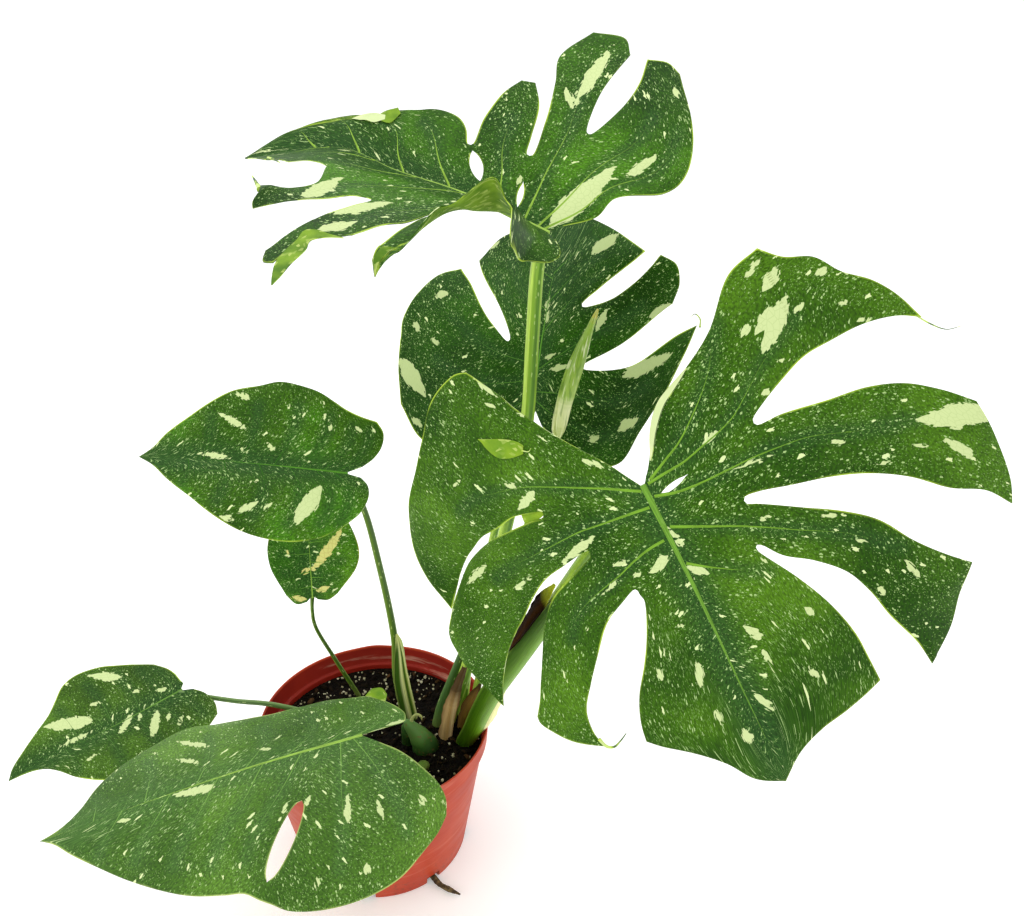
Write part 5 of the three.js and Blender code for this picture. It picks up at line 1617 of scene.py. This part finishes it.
def potMaterial(name, colours, chalk, roughness):
    # Injection-moulded polypropylene: satin, nearly even colour, with handling scuffs and dust.
    material, tree = startMaterial(name)
    place = node(tree, "TexCoord").outputs["Object"]
    parts = node(tree, "SeparateXYZ", [place])
    cloud = node(tree, "TexNoise", {"Vector": place, "Scale": 28.0, "Detail": 4.0})
    tone = node(tree, "ValToRGB", {"Fac": cloud}, ramp=list(zip((0.32, 0.52, 0.7), colours)))
    # Scuffs lie around the pot: noise 7 mm tall and some 70 mm long.
    around = node(tree, "Mapping", {"Vector": place, "Scale": (14.0, 14.0, 150.0)})
    scuff = node(tree, "TexNoise", {"Vector": around, "Scale": 1.0, "Detail": 6.0, "Roughness": 0.65})
    mask = node(tree, "MapRange", [scuff, 0.56, 0.7, 0.0, chalk])
    tone = node(tree, "Mix", {0: mask, 6: tone, 7: "#dfa893"})
    # Dust and splashed soil near the foot.
    foot = node(tree, "MapRange", [parts.outputs[2], 0.002, 0.03, 0.6, 0.0])
    grit = node(tree, "TexNoise", {"Vector": place, "Scale": 420.0, "Detail": 3.0})
    grit = node(tree, "MapRange", [grit, 0.55, 0.68])
    grit = node(tree, "Math", [grit, foot], operation="MULTIPLY")
    tone = node(tree, "Mix", {0: grit, 6: tone, 7: "#5f3a2a"})
    rough = node(tree, "MapRange", [scuff, 0.4, 0.7, roughness, roughness + 0.2])
    fine = node(tree, "TexNoise", {"Vector": place, "Scale": 900.0, "Detail": 2.0})
    skin = {"Base Color": tone, "Roughness": rough, "Specular IOR Level": 0.25}
    return finishMaterial(material, skin, fine, 0.08, 0.0003)


potOutside = potMaterial("moulded coral polypropylene", ["#a6331a", "#b03a1d", "#ba4423"], 0.22, 0.42)
# The inside is the same coral plastic as the outside; its darker reds are painted shade, as the inside of the pot
# lies in shade, and its pale chalk scuffs are real.
potInsideShaded = potMaterial("scuffed polypropylene inside, painted shade", ["#85170c", "#931d10", "#a12615"], 0.6, 0.5)
buildPiece("pot", [potPart()], [potOutside, potInsideShaded], ["pot"], sharpAngle=35)

mix = {
    "top": 95.0,
    "bottom": 2.4,
    "gap": 0.6,  # between the soil and the pot's wall
    "bump": 2.4,
    "perlite": 430,
    "bark": 760,
}


def soilHeight(x, y):
    # The level plus hills 17 mm across, which fade out towards the wall.
    return mix["top"] + mix["bump"] * hills(x, y, 17.0, 21, 4) * smoothStep(75.5, 66, np.hypot(x, y))


def soilPart():
    # A profile turned about the pot's axis, its top moved to the soil's height.
    angles = np.linspace(0, 2 * np.pi, 181)
    foot, edge = (wallRadius(mix[level]) - pot["wall"] - mix["gap"] for level in ("bottom", "top"))
    profile = [(0, mix["bottom"]), (foot, mix["bottom"]), (edge, mix["top"])]
    profile += [(r, mix["top"]) for r in np.linspace(edge, 0, 60)[1:]]
    grid = turnedGrid(profile, angles)
    top = grid[3:]
    top[..., 2] = soilHeight(top[..., 0], top[..., 1])
    lengths = lengthsAlong(np.asarray(profile, float))[:, None]
    flow = paired(angles[None] * 50, lengths)
    faces = gridFaces(len(profile), angles.size, flip=True)
    return welded(grid.reshape(-1, 3), faces, flow.reshape(-1, 2))


def strewn(count, sizes, stretch, seed, reach, height, material, crowd=None):
    # Rough grains: a sphere of 36 faces with jittered points, squashed and turned at random, and
    # lifted by a share of half its size.
    draw = np.random.default_rng(seed)
    rise, turn = np.meshgrid(np.linspace(0, np.pi, 5), np.linspace(0, 2 * np.pi, 7), indexing="ij")
    ball = np.stack([np.sin(rise) * np.cos(turn), np.sin(rise) * np.sin(turn), np.cos(rise)], -1).reshape(-1, 3)
    ball = welded(ball, gridFaces(5, 7), np.zeros((35, 2)), grain=0.001)
    corners, faces = ball["points"], ball["faces"]
    where = draw.uniform(-reach, reach, (count * 6, 2))
    where = where[np.hypot(*where.T) < reach]
    if crowd:
        where = where[draw.random(len(where)) < crowd(where[:, 0], where[:, 1])]
    where = where[:count]
    count = len(where)
    size = draw.uniform(*sizes, (count, 1, 1)) / 2
    shape = corners[None] * (1 + draw.uniform(-0.28, 0.28, (count, len(corners), 1)))
    shape = shape * size * np.concatenate([np.ones((count, 1, 1)), draw.uniform(*stretch, (count, 1, 2))], -1)
    spin, tip = draw.uniform(0, 2 * np.pi, count), draw.normal(0, 0.35, count)
    c, s, ct, st = np.cos(spin), np.sin(spin), np.cos(tip), np.sin(tip)
    turned = np.reshape([c * ct, -s, c * st, s * ct, c, s * st, -st, 0 * s, ct], (3, 3, count))
    shape = np.einsum("ijn,nkj->nki", turned, shape)
    shape[..., :2] += where[:, None]
    shape[..., 2] += (soilHeight(where[:, 0], where[:, 1]) + height * size[:, 0, 0])[:, None]
    steps = np.arange(count)[:, None, None] * len(corners)
    flow = np.broadcast_to(draw.random((count, 1, 1, 2)) * 50, (count, len(faces), 3, 2))
    return {
        "points": shape.reshape(-1, 3),
        "faces": (faces[None] + steps).reshape(-1, 3),
        "flow": flow.reshape(-1, 3, 2),
        "numbers": {},
        "material": material,
    }


def soilMaterial():
    # Damp peat and bark: near black brown, matt, with crumbs of about 2 mm.
    material, tree = startMaterial("damp bark and peat mix")
    place = node(tree, "TexCoord").outputs["Object"]
    crumbs = node(tree, "TexVoronoi", {"Vector": place, "Scale": 480.0})
    cloud = node(tree, "TexNoise", {"Vector": place, "Scale": 260.0, "Detail": 6.0, "Roughness": 0.7})
    damp = [(0.35, "#050402"), (0.5, "#0e0a05"), (0.62, "#1c140a"), (0.72, "#382a18")]
    tone = node(tree, "ValToRGB", {"Fac": cloud}, ramp=damp)
    height = node(tree, "Math", [crumbs, cloud], operation="ADD")
    skin = {"Base Color": tone, "Roughness": 0.9, "Specular IOR Level": 0.1}
    return finishMaterial(material, skin, height, 1.0, 0.003)


def grainMaterial(name, ramp, roughness):
    # One tone for each grain, from its own place in the flow map, with fine pits.
    material, tree = startMaterial(name)
    flow = node(tree, "UVMap")
    place = node(tree, "TexCoord").outputs["Object"]
    tint = node(tree, "TexWhiteNoise", {"Vector": flow}, noise_dimensions="2D")
    tone = node(tree, "ValToRGB", {"Fac": tint}, ramp=ramp)
    pits = node(tree, "TexNoise", {"Vector": place, "Scale": 1200.0, "Detail": 2.0})
    shade = node(tree, "MapRange", [pits, 0.3, 0.7, 0.7, 1.15])
    tone = node(tree, "VectorMath", {0: tone, 3: shade}, operation="SCALE")
    skin = {"Base Color": tone, "Roughness": roughness, "Specular IOR Level": 0.1}
    return finishMaterial(material, skin, pits, 0.6, 0.0008)


soilParts = [
    soilPart(),
    strewn(mix["bark"], (2.0, 7.0), (0.25, 0.6), 3, 74.0, 0.3, 1),
    # Perlite lies thicker at the back left.
    strewn(mix["perlite"], (0.7, 2.7), (0.7, 1.0), 4, 74.5, 0.5, 2, crowd=lambda x, y: 0.3 + 0.7 * (y - x > 0)),
]
soilFinishes = [
    soilMaterial(),
    grainMaterial("bark crumbs", [(0.0, "#090603"), (0.5, "#140e06"), (0.85, "#261a0c"), (1.0, "#5c4024")], 0.85),
    grainMaterial("expanded perlite", [(0.0, "#8f8868"), (0.5, "#b5ae8e"), (1.0, "#d8d2b6")], 0.95),
]
buildPiece("soil", soilParts, soilFinishes, ["soil"], sharpAngle=60)

drainRoot = {
    "points": [[38, -44, 4.0], [40.6, -46.7, 3.8], [47, -54, 3.4], [54, -58, 3.0], [62, -62, 2.6]],
    "radii": [[0, 2.0], [0.35, 2.1], [0.55, 1.7], [0.7, 2.0], [0.85, 1.3], [1, 0.6]],
}


def rootMaterial():
    # Dry aerial root: corky brown skin, mottled and bumpy.
    material, tree = startMaterial("corky root")
    place = node(tree, "TexCoord").outputs["Object"]
    cloud = node(tree, "TexNoise", {"Vector": place, "Scale": 300.0, "Detail": 5.0, "Roughness": 0.7})
    tone = node(tree, "ValToRGB", {"Fac": cloud}, ramp=[(0.35, "#241808"), (0.5, "#4a3b1e"), (0.66, "#8a7446")])
    return finishMaterial(material, {"Base Color": tone, "Roughness": 0.85}, cloud, 0.8, 0.0015)


def rootPart():
    # A round bar whose radius is multiplied by 1 + 0.35 hills, at most 1.1, for its knots.
    shares, path, radius = taperedPath(drainRoot, 80)
    around = np.linspace(0, 1, 17)[None]
    knots = 1 + 0.35 * hills(np.cos(2 * np.pi * around) * 4, shares[:, None] * 34, 4.0, 8)
    return carried(path, ring(radius, radius, 17) * np.minimum(knots, 1.1)[..., None])


buildPiece("drainRoot", [rootPart()], [rootMaterial()], ["drain_root"])
print("pot, soil and root ready")
